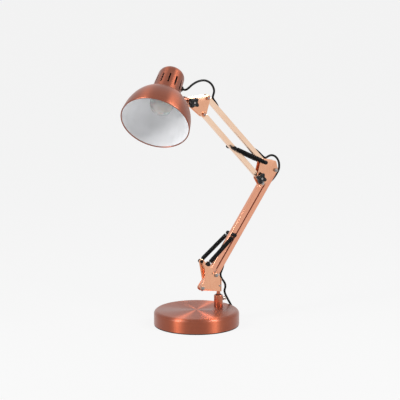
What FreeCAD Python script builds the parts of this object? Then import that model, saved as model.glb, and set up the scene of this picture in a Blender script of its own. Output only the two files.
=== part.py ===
import FreeCAD, Part
import math
import os
from FreeCAD import Placement, Rotation, Vector

# ---------------------------------------------------------------------------
# Driving dimensions, in millimetres and degrees.
# The origin is the centre of the base's underside, +Z is up, the two arms
# stand in the plane y = 0, the shade reaches towards -X and -Y is the near side.
# ---------------------------------------------------------------------------

# base
BASE_RADIUS = 95.0
BASE_HEIGHT = 34.0
BASE_EDGE_ROUND = 8.5
BASE_WALL = 1.2
PAD_THICKNESS = 2.0
PAD_INSET = 0.8
FLOOR_PLATE_THICKNESS = 1.2
WEIGHT_INSET = 11.0
WEIGHT_THICKNESS = 14.0

# post, bush and swivel stem
POST_X = 55.4
POST_RADIUS = 10.0
POST_HEIGHT = 28.0
POST_EDGE_ROUND = 2.2
SPIGOT_RADIUS = 6.0
SPIGOT_FOOT = 8.0
BUSH_WALL = 1.4
BUSH_FLANGE = 1.0
BUSH_FLANGE_REACH = 1.2
STEM_RADIUS = 4.0
STEM_FOOT = 32.0
STEM_TOP = 97.0
STEM_COLLAR_HEIGHT = 2.0
STEM_COLLAR_REACH = 1.2
RUNNING_GAP = 0.06
POST_WASHER_RADIUS = 12.0
POST_WASHER_THICKNESS = 1.5
POST_NUT_HEIGHT = 8.0
POST_NUT_ACROSS_FLATS = 18.0
RIVET_Z = 84.0
RIVET_RADIUS = 1.6
RIVET_HEAD_RADIUS = 2.6
RIVET_HEAD_HEIGHT = 0.9
SPACER_RADIUS = 3.4

# thumb screw that locks the stem
THUMB_SCREW_Z = 52.0
THUMB_HEAD_RADIUS = 4.2
THUMB_HEAD_LENGTH = 7.0
THUMB_HEAD_STANDOFF = 1.0
THUMB_COLLAR_RADIUS = 3.0
THUMB_THREAD_RADIUS = 2.0
THUMB_GROOVES = 16
THUMB_GROOVE_RADIUS = 0.5

# channel bars of both arms
BAR_WIDTH = 11.0
BAR_DEPTH = 11.0
BAR_WALL = 1.0
BAR_WEB_OFFSET = 4.5
BAR_END = 6.0
BAR_END_ROUND = 4.0

# lower arm
LOWER_LENGTH = 271.0
LOWER_ANGLE = 55.92
LOWER_INNER_X, LOWER_INNER_Z = 10.8, 82.8
LOWER_OUTER_X, LOWER_OUTER_Z = 45.6, 109.0
LOWER_ANCHOR_AT = 138.0

# folded bracket, its fold and its ears
EAR_X, EAR_Z = 19.4, 139.0
EAR_RADIUS = 6.3
EAR_FLARE = 6.6
BRACKET_FOOT, BRACKET_SHOULDER = 70.5, 99.5
BRACKET_FOLD_ROUND = 1.5
BRACKET_TOP_RADIUS = 6.5
BRACKET_LOBE_RADIUS = 5.2
BEND_LOW_DX, BEND_LOW_DZ = 7.2, 16.5
BEND_HIGH_DX, BEND_HIGH_DZ = -7.0, 4.6
BEND_CORNER_ROUND = 0.8
SHEET = 1.2

# elbow, measured from the upper pivot of the lower inner bar
ELBOW_INNER_DX, ELBOW_INNER_DZ = -7.3, 12.3
ELBOW_OUTER_DX, ELBOW_OUTER_DZ = 2.7, 47.8
ELBOW_CORNER_DX, ELBOW_CORNER_DZ = 31.6, 43.0
ELBOW_PLATE_RADIUS = 7.0
ELBOW_SMALL_RADIUS = 6.0
ELBOW_CORNER_RADIUS = 5.0

# upper arm
UPPER_LENGTH = 209.0
UPPER_ANGLE = 132.43
UPPER_ANCHOR_AT = 100.0

# head: the tilt pivot, measured from the upper pivot of the upper inner bar
HEAD_PIVOT_DX, HEAD_PIVOT_DZ = -29.1, 29.1
HEAD_NOSE_RADIUS = 9.5
HEAD_PLATE_RADIUS = 6.6

# side plates, bolts, nuts and washers
PLATE_GAP = 12.4
BOLT_RADIUS = 2.5
PIVOT_WASHER_RADIUS = 5.0
PIVOT_WASHER_THICKNESS = 0.6
BOLT_HEAD_RADIUS = 4.2
BOLT_HEAD_HEIGHT = 2.6
BOLT_HEAD_ROUND = 1.2
BOLT_TIP = 1.2
NUT_ACROSS_FLATS = 8.0
NUT_HEIGHT = 3.4

# springs, their rods and sleeves
SPRING_RADIUS = 4.9
SPRING_BORE = 3.1
SPRING_WIRE_RADIUS = 0.8
SPRING_COIL_INSET = 7.0
LOWER_SPRING_FOOT_Y = 18.5
LOWER_SPRING_TOP_Y = 14.5
UPPER_SPRING_FOOT_Y = 17.0
UPPER_SPRING_TOP_Y = 14.5
SPRING_ROD_RADIUS = 2.5
ROD_TIP = 0.4
ROD_CHAMFER = 0.5
STUD_HEAD_RADIUS = 3.8
STUD_HEAD_HEIGHT = 1.0
STUD_HEAD_GAP = 1.0
SLEEVE_RADIUS = 4.3
SLEEVE_EDGE_ROUND = 0.6
SLEEVE_GROOVE_RADIUS = 3.1
SLEEVE_GROOVE = 2.2
SLEEVE_END = 2.6
SLEEVE_GAP = 0.1
EAR_SLEEVE_GAP = 1.1
HOOK_GAP = 0.1

# star knobs
KNOB_LOBES = 4
KNOB_LOBE_REACH = 13.0
KNOB_LOBE_RADIUS = 4.4
KNOB_HUB_RADIUS = 8.0
KNOB_THICKNESS = 8.0
KNOB_EDGE_ROUND = 1.2
KNOB_COLLAR_RADIUS = 5.0
KNOB_COLLAR_HEIGHT = 4.6
KNOB_GAP = 0.3
KNOB_BOLT_TIP = 0.8
ELBOW_KNOB_TURN = 22.0
HEAD_KNOB_TURN = 40.0

# lug and swivel pin between the head and the shade
PIN_FALL = 22.2
PIN_REACH = 65.64
PIN_RADIUS = 4.0
PIN_START = 10.0
PIN_CHAMFER = 0.5
PIN_TIP = 1.0
LUG_RADIUS = 8.0
LUG_COLLAR_RADIUS = 6.5
LUG_COLLAR_END = 20.0
BOSS_RADIUS = 7.0
BOSS_END = 38.0
CLAMP_NUT_RADIUS = 6.0
CLAMP_NUT_HEIGHT = 4.0

# shade, along its own axis from the rim (0) to the top of the cap
SHADE_LEAN = 18.0
SHADE_TURN = 35.98
SHADE_RIM_RADIUS = 76.1
SHADE_DOME_HEIGHT = 92.0
SHADE_PIN_HEIGHT = 93.0
SHADE_WALL = 1.0
SHADE_HEIGHT = 155.0
CAP_RADIUS_AT_FOOT = 32.2
CAP_FOOT = 88.0
CAP_TAPER = 3.3
CAP_TOP_ROUND = 17.0
CAP_FOOT_FILLET = 3.0
RIM_BEAD = 1.3
SLOT_WIDTH = 3.6
SLOT_FOOT, SLOT_TOP = 97.0, 125.0
SLOT_PITCH = 30.0
SLOT_FIRST, SLOT_LAST = 2, 10
GROMMET_TURN = -23.0
GROMMET_HEIGHT = 118.0
GROMMET_NECK_RADIUS = 4.6
GROMMET_FLANGE_RADIUS = 6.0
GROMMET_REACH = 3.0
GROMMET_DEPTH = 3.0
GROMMET_RUN = 5.0

# lamp holder and bulb, along the shade's axis
BULB_RADIUS = 26.5
BULB_SHOULDER_UP = 12.0
BULB_NECK_LENGTH = 24.0
BULB_CENTRE_DOWN = 44.5
BULB_SHOULDER_RADIUS = 22.8
BULB_NECK_RADIUS = 15.0
BULB_CAP_INSET = 1.0
BULB_CAP_LENGTH = 23.0
BULB_CAP_RADIUS = 13.0
BULB_GLASS_WALL = 1.0
BULB_CAP_TIP_RADIUS = 4.5
BULB_CAP_TIP_HEIGHT = 4.0
HOLDER_TOP = 143.0
HOLDER_LENGTH = 40.0
HOLDER_RADIUS = 19.0
HOLDER_EDGE_ROUND = 3.0
HOLDER_SHELL_WALL = 0.6
HOLDER_SHELL_GAP = 0.4
HOLDER_SHELL_INSET = 2.0
CONTACT_RADIUS = 4.0
CONTACT_HEIGHT = 3.0
NIPPLE_RADIUS = 5.0
NIPPLE_NUT_RADIUS = 8.0
NIPPLE_NUT_HEIGHT = 3.0
STRAP_THICKNESS = 1.5
STRAP_WIDTH = 12.0
STRAP_FOOT = 97.0
STRAP_REACH = 26.3

# lead, in-line switch, coil and plug
CORD_RADIUS = 2.4
FLOOR_HEADING = 28.4
# the lead's route as (x, z, y) offsets: from the tilt pivot, the upper outer bar's top pivot,
# the upper outer bar's foot pivot, the lower outer bar's top and foot pivots, and the post's foot
LEAD_OVER_LUG = ((-9.54, 31.58, -8.2), (-0.44, 39.68, -9.8), (13.86, 45.88, -9.8),
                 (29.86, 46.88, -8.6))
LEAD_BEHIND_HEAD = ((4.66, 34.78, -6.8), (14.66, 24.38, -4.6), (18.96, 12.28, -2.6),
                    (15.36, 0.68, -0.6))
LEAD_OVER_ELBOW = ((3.95, 9.54, 0.0), (9.45, 6.34, 0.0), (16.85, 10.24, 0.0),
                   (25.15, 12.44, 0.0))
LEAD_BEHIND_ELBOW = ((2.95, 30.44, 0.0), (10.55, 21.34, 0.0), (13.45, 11.04, 0.0),
                     (12.75, 0.64, 0.0))
LEAD_AT_BRACKET = ((14.2, -1.9, 0.2), (19.1, -12.8, 0.7))
LEAD_BEHIND_POST = ((13.4, 57.8, 1.0), (18.4, 50.2, 2.0), (19.9, 41.7, 3.2), (17.7, 34.5, 4.8),
                    (21.0, 25.5, 7.0), (29.7, 13.0, 12.0), (44.1, -5.7, 21.0))
# the same in the outer channels: distance from the bar's top pivot and height over its middle,
# then distance from its foot pivot and height
LEAD_INTO_UPPER = ((15.5, 9.3), (22.0, 9.0), (30.0, 8.6), (47.0, 1.9))
LEAD_OUT_OF_UPPER = ((46.0, 1.9), (28.0, 8.2), (17.0, 8.8))
LEAD_INTO_LOWER = ((-1.0, 11.2), (9.0, 10.75), (19.0, 10.2), (38.0, 1.9))
LEAD_OUT_OF_LOWER = ((41.0, 1.9), (23.0, 9.8), (16.0, 10.7))
# and on the table, as (sideways, backwards, up)
LEAD_TO_SWITCH = ((82.0, 74.5, 16.5), (85.9, 82.4, 8.4), (87.2, 91.2, 3.2), (83.6, 99.8, 2.5),
                  (77.0, 104.6, 3.4))
LEAD_INTO_COIL = (-9.0, 105.2, 3.6)
LEAD_OUT_OF_COIL = (-16.5, 141.8, 4.0)
SWITCH_RUN_IN, SWITCH_RUN_OUT, PLUG_RUN_IN = 7.5, 8.0, 9.5
COIL_MEAN_RADIUS = 24.5
COIL_LAYERS = 2
COIL_COLUMNS = 4
COIL_SIDE, COIL_BACK = -42.0, 123.0
COIL_JOIN, COIL_LEAVE = -58.0, 58.0
SWITCH_SIDE, SWITCH_BACK = 35.0, 107.0
SWITCH_LENGTH, SWITCH_WIDTH, SWITCH_HEIGHT = 56.0, 23.0, 15.0
SWITCH_END_ROUND = 7.0
SWITCH_EDGE_ROUND = 2.0
SWITCH_WALL = 1.6
SWITCH_END_WALL = 6.0
SWITCH_CORD_Z = 6.0
ROCKER_LENGTH, ROCKER_WIDTH = 15.0, 9.0
ROCKER_GAP = 0.3
ROCKER_CURVE = 9.0
ROCKER_RISE = 1.2
ROCKER_DEPTH = 6.6
ROCKER_DISH = 12.4
ROCKER_PIVOT_DEPTH = 3.2
ROCKER_PIVOT_RADIUS = 1.0
ROCKER_TILT = 6.0
PLUG_SIDE, PLUG_BACK = 20.0, 138.0
PLUG_LENGTH, PLUG_WIDTH, PLUG_HEIGHT = 36.0, 30.0, 13.0
PLUG_NECK_WIDTH = 20.0
PLUG_SHOULDER_SHARE = 0.55
PLUG_CORNER_ROUND = 3.0
PLUG_EDGE_ROUND = 2.0
PLUG_PIN_RADIUS, PLUG_PIN_LENGTH, PLUG_PIN_PITCH = 2.0, 19.0, 19.0
PLUG_PIN_ROUND = 0.9
RELIEF_LENGTH = 18.0
RELIEF_TIP_RADIUS, RELIEF_FOOT_RADIUS = 3.4, 5.6

NEAR, FAR = -1, 1
UP = Vector(0, 0, 1)
ACROSS = Vector(0, 1, 0)
WELL_PAST = 60.0
MEASURES = []


# ---------------------------------------------------------------------------
# Places in the arms' plane
# ---------------------------------------------------------------------------

def at(x, z, y=0.0):
    return Vector(x, y, z)


def heading(degrees):
    """The unit direction in the arms' plane, turned up from +X."""
    return Vector(math.cos(math.radians(degrees)), 0, math.sin(math.radians(degrees)))


LOWER_WAY, LOWER_OPEN = heading(LOWER_ANGLE), heading(LOWER_ANGLE - 90)
UPPER_WAY, UPPER_OPEN = heading(UPPER_ANGLE), heading(UPPER_ANGLE - 90)

LOWER_INNER = at(LOWER_INNER_X, LOWER_INNER_Z)
LOWER_OUTER = at(LOWER_OUTER_X, LOWER_OUTER_Z)
LOWER_INNER_TOP = LOWER_INNER + LOWER_WAY * LOWER_LENGTH
LOWER_OUTER_TOP = LOWER_OUTER + LOWER_WAY * LOWER_LENGTH
LOWER_ANCHOR = LOWER_INNER + LOWER_WAY * LOWER_ANCHOR_AT
EAR = at(EAR_X, EAR_Z)

ELBOW_INNER = LOWER_INNER_TOP + at(ELBOW_INNER_DX, ELBOW_INNER_DZ)
ELBOW_OUTER = LOWER_INNER_TOP + at(ELBOW_OUTER_DX, ELBOW_OUTER_DZ)
ELBOW_CORNER = LOWER_INNER_TOP + at(ELBOW_CORNER_DX, ELBOW_CORNER_DZ)

UPPER_INNER_TOP = ELBOW_INNER + UPPER_WAY * UPPER_LENGTH
UPPER_OUTER_TOP = ELBOW_OUTER + UPPER_WAY * UPPER_LENGTH
UPPER_ANCHOR = ELBOW_INNER + UPPER_WAY * UPPER_ANCHOR_AT
HEAD_PIVOT = UPPER_INNER_TOP + at(HEAD_PIVOT_DX, HEAD_PIVOT_DZ)

HOLDER_FOOT = HOLDER_TOP - HOLDER_LENGTH
BULB_CAP_FOOT = HOLDER_FOOT + BULB_CAP_INSET
BULB_CAP_TOP = BULB_CAP_FOOT + BULB_CAP_LENGTH
BULB_CENTRE = BULB_CAP_FOOT - BULB_CENTRE_DOWN
BULB_SHOULDER = BULB_CENTRE + BULB_SHOULDER_UP
BULB_NECK = BULB_CAP_FOOT - BULB_NECK_LENGTH

PLATE_INSIDE = PLATE_GAP / 2
PLATE_OUTSIDE = PLATE_INSIDE + SHEET
BAR_SIDE = BAR_WIDTH / 2


# ---------------------------------------------------------------------------
# Shapes used by several pieces
# ---------------------------------------------------------------------------

def save(name, *solids):
    """Writes the solids of one sub-part to its own file."""
    shape = solids[0] if len(solids) == 1 else Part.makeCompound(list(solids))
    shape.exportStep("parts/" + name + ".step")


def cylinder(start, end, radius):
    return Part.makeCylinder(radius, (end - start).Length, start, end - start)


def across(centre, radius, y0, y1):
    """A round bar along Y, through a point of the arms' plane."""
    return cylinder(at(centre.x, centre.z, y0), at(centre.x, centre.z, y1), radius)


def circles_of(solid):
    """The closed round edges of a solid."""
    return [e for e in solid.Edges if len(e.Vertexes) == 1]


def highest(solid):
    """The closed round edge with the highest centre."""
    return max(circles_of(solid), key=lambda e: e.CenterOfMass.z)


def hexagon(start, end, across_flats):
    """A hexagonal bar from one point to another."""
    axis = end - start
    side = axis.cross(UP) if axis.cross(UP).Length > 1e-6 else Vector(1, 0, 0)
    side.normalize()
    reach = across_flats / math.sqrt(3)
    corners = [start + Rotation(axis, 60 * n).multVec(side) * reach for n in range(7)]
    return Part.Face(Part.makePolygon(corners)).extrude(axis)


def disc(place, radius):
    """One circle of a belt, about a point of the arms' plane."""
    return place.x, place.z, radius


def belt(circles, y0, y1):
    """A plate between y0 and y1, bounded by arcs about (x, z, radius) and their tangents.

    The circles are given counter-clockwise as seen from the near side.
    """
    touching = []
    for (x, z, radius), (x2, z2, radius2) in zip(circles, circles[1:] + circles[:1]):
        way = math.atan2(z2 - z, x2 - x)
        touching.append(way - math.acos((radius - radius2) / math.hypot(x2 - x, z2 - z)))

    def on(circle, angle):
        x, z, radius = circle
        return at(x + radius * math.cos(angle), z + radius * math.sin(angle), y0)

    edges = []
    for n, circle in enumerate(circles):
        first, last = touching[n - 1], touching[n]
        while last < first:
            last += 2 * math.pi
        following = circles[(n + 1) % len(circles)]
        edges.append(Part.Arc(on(circle, first), on(circle, (first + last) / 2),
                              on(circle, last)).toShape())
        edges.append(Part.LineSegment(on(circle, last), on(following, last)).toShape())
    return Part.Face(Part.Wire(edges)).extrude(ACROSS * (y1 - y0))


def tube(name, points):
    """A cord's solid: straight runs through the points, joined by the largest tangent arcs."""
    edges, radii, start = [], [], points[0]
    for before, corner, after in zip(points, points[1:], points[2:]):
        back, ahead = before - corner, after - corner
        half_turn = (math.pi - back.getAngle(ahead)) / 2
        reach = 0.45 * min(back.Length, ahead.Length)
        radius = reach / math.tan(half_turn)
        radii.append(radius)
        back.normalize()
        ahead.normalize()
        inward = (back + ahead).normalize()
        middle = corner + inward * (radius / math.cos(half_turn) - radius)
        first, last = corner + back * reach, corner + ahead * reach
        edges.append(Part.LineSegment(start, first).toShape())
        edges.append(Part.Arc(first, middle, last).toShape())
        start = last
    edges.append(Part.LineSegment(start, points[-1]).toShape())
    path = Part.Wire(edges)
    section = Part.Wire(Part.makeCircle(CORD_RADIUS, points[0], points[1] - points[0]))
    solid = path.makePipeShell([section], True, False)
    share = solid.Volume / (math.pi * CORD_RADIUS ** 2 * path.Length)
    MEASURES.append((name, path.Length, radii, share))
    return solid


def bar(foot, way, opening, length):
    """A channel bar: web on the closed side, round flange ends, a hole at each pivot."""
    web = -BAR_WEB_OFFSET

    def block(s0, s1, q0, q1, half):
        corners = [foot + way * s + opening * q - ACROSS * half
                   for s, q in ((s0, q0), (s1, q0), (s1, q1), (s0, q1), (s0, q0))]
        return Part.Face(Part.makePolygon(corners)).extrude(ACROSS * (2 * half))

    outer = block(-BAR_END, length + BAR_END, web, web + BAR_DEPTH, BAR_SIDE)
    outer = outer.makeFillet(BAR_END_ROUND,
                             [e for e in outer.Edges if abs(e.Length - BAR_WIDTH) < 1e-6])
    channel = outer.cut(block(-2 * BAR_END, length + 2 * BAR_END, web + BAR_WALL,
                              web + 2 * BAR_DEPTH, BAR_SIDE - BAR_WALL))
    return drilled(channel, foot, foot + way * length)


def drilled(solid, *centres):
    """Cuts a running hole for a pivot bolt at each place."""
    for centre in centres:
        solid = solid.cut(across(centre, BOLT_RADIUS + RUNNING_GAP, -WELL_PAST, WELL_PAST))
    return solid


def bolt(centre):
    """A pan-headed bolt through two side plates: head on the far side, tip on the near side."""
    shank = across(centre, BOLT_RADIUS, -(PLATE_OUTSIDE + NUT_HEIGHT + BOLT_TIP), PLATE_OUTSIDE)
    head = across(centre, BOLT_HEAD_RADIUS, PLATE_OUTSIDE, PLATE_OUTSIDE + BOLT_HEAD_HEIGHT)
    head = head.makeFillet(BOLT_HEAD_ROUND, [max(circles_of(head), key=lambda e: e.CenterOfMass.y)])
    return shank.fuse(head).removeSplitter()


def nut(centre):
    """A nut against the near plate, bored for its bolt."""
    foot, top = -PLATE_OUTSIDE, -(PLATE_OUTSIDE + NUT_HEIGHT)
    block = hexagon(at(centre.x, centre.z, foot), at(centre.x, centre.z, top), NUT_ACROSS_FLATS)
    return block.cut(across(centre, BOLT_RADIUS, 2 * top, 0))


def washers(centre):
    """The two thin washers between a bar and its side plates."""
    space = (PLATE_INSIDE - BAR_SIDE - PIVOT_WASHER_THICKNESS) / 2
    pair = []
    for side in (NEAR, FAR):
        inner = side * (BAR_SIDE + space)
        ring = across(centre, PIVOT_WASHER_RADIUS, inner, inner + side * PIVOT_WASHER_THICKNESS)
        pair.append(drilled(ring, centre))
    return pair


# ---------------------------------------------------------------------------
# Base
# ---------------------------------------------------------------------------

def rounded_disc(radius, foot, top, edge):
    """A disc with a rounded upper edge."""
    block = Part.makeCylinder(radius, top - foot, at(0, foot))
    return block.makeFillet(edge, [highest(block)])


def on_post(z):
    return at(POST_X, z)


def build_base():
    ceiling = BASE_HEIGHT - BASE_WALL
    outer = rounded_disc(BASE_RADIUS, PAD_THICKNESS, BASE_HEIGHT, BASE_EDGE_ROUND)
    inner = rounded_disc(BASE_RADIUS - BASE_WALL, 0, ceiling, BASE_EDGE_ROUND - BASE_WALL)
    spigot_hole = cylinder(on_post(0), on_post(2 * BASE_HEIGHT), SPIGOT_RADIUS)
    save("base_cover", outer.cut(inner).cut(spigot_hole))

    weight_foot = ceiling - WEIGHT_THICKNESS
    weight = Part.makeCylinder(BASE_RADIUS - WEIGHT_INSET, WEIGHT_THICKNESS, at(0, weight_foot))
    save("base_weight", weight.cut(spigot_hole))
    save("base_plate", Part.makeCylinder(BASE_RADIUS - BASE_WALL, FLOOR_PLATE_THICKNESS,
                                         at(0, PAD_THICKNESS)))
    save("base_pad", Part.makeCylinder(BASE_RADIUS - PAD_INSET, PAD_THICKNESS))

    washer_foot = weight_foot - POST_WASHER_THICKNESS
    washer = cylinder(on_post(washer_foot), on_post(weight_foot), POST_WASHER_RADIUS)
    post_nut = hexagon(on_post(washer_foot - POST_NUT_HEIGHT), on_post(washer_foot),
                       POST_NUT_ACROSS_FLATS)
    save("post_nut", washer.cut(spigot_hole), post_nut.cut(spigot_hole))


def build_post():
    top = BASE_HEIGHT + POST_HEIGHT
    bore = STEM_RADIUS + RUNNING_GAP + BUSH_WALL
    shaft = cylinder(on_post(BASE_HEIGHT), on_post(top), POST_RADIUS)
    shaft = shaft.makeFillet(POST_EDGE_ROUND, [highest(shaft)])
    post = shaft.fuse(cylinder(on_post(SPIGOT_FOOT), on_post(BASE_HEIGHT), SPIGOT_RADIUS))
    post = post.cut(cylinder(on_post(STEM_FOOT), on_post(2 * top), bore))
    screw_hole = cylinder(on_post(THUMB_SCREW_Z), on_post(THUMB_SCREW_Z) + at(2 * POST_RADIUS, 0),
                          THUMB_THREAD_RADIUS + RUNNING_GAP)
    save("base_post", post.cut(screw_hole))

    bush = cylinder(on_post(STEM_FOOT), on_post(top), bore)
    bush = bush.fuse(cylinder(on_post(top), on_post(top + BUSH_FLANGE), bore + BUSH_FLANGE_REACH))
    bush = bush.cut(cylinder(on_post(0), on_post(2 * top), STEM_RADIUS + RUNNING_GAP))
    save("post_bush", bush.cut(screw_hole).removeSplitter())


def build_thumb_screw():
    """A knurled screw through the post's side, whose end bears on the stem."""
    axis = on_post(THUMB_SCREW_Z)
    tip = axis + at(STEM_RADIUS + RUNNING_GAP, 0)
    collar = axis + at(POST_RADIUS + RUNNING_GAP, 0)
    foot = axis + at(POST_RADIUS + THUMB_HEAD_STANDOFF, 0)
    end = foot + at(THUMB_HEAD_LENGTH, 0)
    head = cylinder(foot, end, THUMB_HEAD_RADIUS)
    head = head.makeChamfer(THUMB_GROOVE_RADIUS, circles_of(head))
    for n in range(THUMB_GROOVES):
        turn = Rotation(Vector(1, 0, 0), n * 360 / THUMB_GROOVES)
        groove = turn.multVec(UP) * THUMB_HEAD_RADIUS
        head = head.cut(cylinder(foot + groove, end + groove, THUMB_GROOVE_RADIUS))
    screw = head.fuse(cylinder(collar, foot, THUMB_COLLAR_RADIUS))
    save("thumb_screw", screw.fuse(cylinder(tip, foot, THUMB_THREAD_RADIUS)).removeSplitter())


# ---------------------------------------------------------------------------
# Swivel bracket
# ---------------------------------------------------------------------------

def bracket_side(side):
    """One side of the folded bracket: a flat lower part and an ear that flares outwards."""
    y0, y1 = side * PLATE_INSIDE, side * PLATE_OUTSIDE
    rear = POST_X + STEM_RADIUS + SHEET - BRACKET_FOLD_ROUND
    bend_low = LOWER_INNER + at(BEND_LOW_DX, BEND_LOW_DZ)
    bend_high = LOWER_OUTER + at(BEND_HIGH_DX, BEND_HIGH_DZ)
    body = belt([disc(LOWER_INNER, BRACKET_LOBE_RADIUS),
                 (rear, BRACKET_FOOT + BRACKET_FOLD_ROUND, BRACKET_FOLD_ROUND),
                 (rear, BRACKET_SHOULDER - BRACKET_FOLD_ROUND, BRACKET_FOLD_ROUND),
                 disc(LOWER_OUTER, BRACKET_TOP_RADIUS), disc(bend_high, BEND_CORNER_ROUND),
                 disc(bend_low, BEND_CORNER_ROUND)], y0, y1)
    ear = belt([disc(bend_low, BEND_CORNER_ROUND), disc(bend_high, BEND_CORNER_ROUND),
                disc(EAR, EAR_RADIUS)], y0, y1)
    fold = bend_high - bend_low
    span = (EAR - bend_low).cross(fold).Length / fold.Length
    flare = math.degrees(math.atan2(EAR_FLARE, span))
    ear.rotate(at(bend_low.x, bend_low.z, y0), fold, -side * flare)
    return body.fuse(ear)


def build_bracket():
    rear = POST_X + STEM_RADIUS
    height = BRACKET_SHOULDER - BRACKET_FOOT - 2 * BRACKET_FOLD_ROUND
    web = Part.makeBox(SHEET, 2 * PLATE_OUTSIDE, height,
                       at(rear, BRACKET_FOOT + BRACKET_FOLD_ROUND, -PLATE_OUTSIDE))
    bracket = bracket_side(NEAR).fuse(bracket_side(FAR)).fuse(web)
    bracket = drilled(bracket, LOWER_INNER, LOWER_OUTER, EAR)
    rivet_hole = across(on_post(RIVET_Z), RIVET_RADIUS, -WELL_PAST, WELL_PAST)
    save("lower_bracket", bracket.cut(rivet_hole).removeSplitter())

    collar_foot = BASE_HEIGHT + POST_HEIGHT + BUSH_FLANGE + RUNNING_GAP
    stem = cylinder(on_post(STEM_FOOT + RUNNING_GAP), on_post(STEM_TOP), STEM_RADIUS)
    stem = stem.fuse(cylinder(on_post(collar_foot), on_post(collar_foot + STEM_COLLAR_HEIGHT),
                              STEM_RADIUS + STEM_COLLAR_REACH))
    save("swivel_stem", stem.cut(rivet_hole).removeSplitter())

    rivet = across(on_post(RIVET_Z), RIVET_RADIUS, -PLATE_OUTSIDE, PLATE_OUTSIDE)
    spacers = []
    for side in (NEAR, FAR):
        rivet = rivet.fuse(across(on_post(RIVET_Z), RIVET_HEAD_RADIUS, side * PLATE_OUTSIDE,
                                  side * (PLATE_OUTSIDE + RIVET_HEAD_HEIGHT)))
        spacer = across(on_post(RIVET_Z), SPACER_RADIUS, 0, side * PLATE_INSIDE)
        spacer = spacer.cut(cylinder(on_post(STEM_FOOT), on_post(STEM_TOP), STEM_RADIUS))
        spacers.append(spacer.cut(rivet_hole))
    save("stem_rivet", rivet.removeSplitter(), *spacers)

    save("lower_pivot_bolts", bolt(LOWER_INNER), bolt(LOWER_OUTER))
    save("lower_pivot_nuts", nut(LOWER_INNER), nut(LOWER_OUTER),
         *washers(LOWER_INNER), *washers(LOWER_OUTER))


# ---------------------------------------------------------------------------
# Springs, their rods and sleeves
# ---------------------------------------------------------------------------

def sleeve_end(hook_y):
    return hook_y + SLEEVE_GROOVE / 2 + SLEEVE_END


def rod(centre, hook_y):
    """A bright rod that carries a sleeve at each end."""
    half = sleeve_end(hook_y) + ROD_TIP
    bare = across(centre, SPRING_ROD_RADIUS, -half, half)
    return bare.makeChamfer(ROD_CHAMFER, circles_of(bare))


def studs(centre, inner_face, hook_y):
    """Two bright studs headed on the inside, so that a bar can swing between them."""
    pair = []
    for side in (NEAR, FAR):
        head_foot = side * (inner_face - STUD_HEAD_GAP - STUD_HEAD_HEIGHT)
        head_top = side * (inner_face - STUD_HEAD_GAP)
        shank = across(centre, SPRING_ROD_RADIUS, head_top, side * (sleeve_end(hook_y) + ROD_TIP))
        tip = max(circles_of(shank), key=lambda e: abs(e.CenterOfMass.y))
        shank = shank.makeChamfer(ROD_CHAMFER, [tip])
        head = across(centre, STUD_HEAD_RADIUS, head_foot, head_top)
        pair.append(shank.fuse(head).removeSplitter())
    return pair


def sleeves(centre, start, hook_y):
    """A sleeve on each end of a rod, with a groove for the spring's hook."""
    pair = []
    for side in (NEAR, FAR):
        body = across(centre, SLEEVE_RADIUS, side * start, side * sleeve_end(hook_y))
        body = body.makeFillet(SLEEVE_EDGE_ROUND, circles_of(body))
        groove = across(centre, 2 * SLEEVE_RADIUS, side * (hook_y - SLEEVE_GROOVE / 2),
                        side * (hook_y + SLEEVE_GROOVE / 2))
        groove = groove.cut(across(centre, SLEEVE_GROOVE_RADIUS, -WELL_PAST, WELL_PAST))
        bore = across(centre, SPRING_ROD_RADIUS + RUNNING_GAP, -WELL_PAST, WELL_PAST)
        pair.append(body.cut(groove).cut(bore))
    return pair


def springs(foot, foot_y, top, top_y):
    """A pair of close-wound springs: each one's coil as a tube, and a wire hook at each end."""
    pair = []
    hook_radius = SLEEVE_GROOVE_RADIUS + SPRING_WIRE_RADIUS + HOOK_GAP
    end_turn = 2 * SPRING_WIRE_RADIUS
    for side in (NEAR, FAR):
        low, high = at(foot.x, foot.z, side * foot_y), at(top.x, top.z, side * top_y)
        way = (high - low).normalize()
        coil_low, coil_high = low + way * SPRING_COIL_INSET, high - way * SPRING_COIL_INSET
        coil = cylinder(coil_low, coil_high, SPRING_RADIUS)
        coil = coil.cut(cylinder(coil_low + way * end_turn, coil_high - way * end_turn, SPRING_BORE))
        for pin, end in ((low, coil_low), (high, coil_high)):
            tangent = pin + (end - pin).normalize() * hook_radius
            coil = coil.fuse(Part.makeTorus(hook_radius, SPRING_WIRE_RADIUS, pin, ACROSS))
            coil = coil.fuse(cylinder(tangent, end, SPRING_WIRE_RADIUS))
        pair.append(coil.removeSplitter())
    return pair


def build_springs():
    ear_face = PLATE_OUTSIDE + EAR_FLARE + EAR_SLEEVE_GAP
    ear_inside = PLATE_INSIDE + EAR_FLARE
    bar_face = BAR_SIDE + SLEEVE_GAP
    save("lower_spring_studs", *studs(EAR, ear_inside, LOWER_SPRING_FOOT_Y))
    save("lower_spring_sleeves", *sleeves(EAR, ear_face, LOWER_SPRING_FOOT_Y))
    save("lower_anchor_rod", rod(LOWER_ANCHOR, LOWER_SPRING_TOP_Y))
    save("lower_anchor_sleeves", *sleeves(LOWER_ANCHOR, bar_face, LOWER_SPRING_TOP_Y))
    save("lower_springs", *springs(EAR, LOWER_SPRING_FOOT_Y, LOWER_ANCHOR, LOWER_SPRING_TOP_Y))
    save("upper_spring_sleeves", *sleeves(ELBOW_OUTER, PLATE_OUTSIDE + SLEEVE_GAP,
                                          UPPER_SPRING_FOOT_Y))
    save("upper_anchor_rod", rod(UPPER_ANCHOR, UPPER_SPRING_TOP_Y))
    save("upper_anchor_sleeves", *sleeves(UPPER_ANCHOR, bar_face, UPPER_SPRING_TOP_Y))
    save("upper_springs", *springs(ELBOW_OUTER, UPPER_SPRING_FOOT_Y,
                                   UPPER_ANCHOR, UPPER_SPRING_TOP_Y))


# ---------------------------------------------------------------------------
# Arms, elbow and head
# ---------------------------------------------------------------------------

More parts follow.
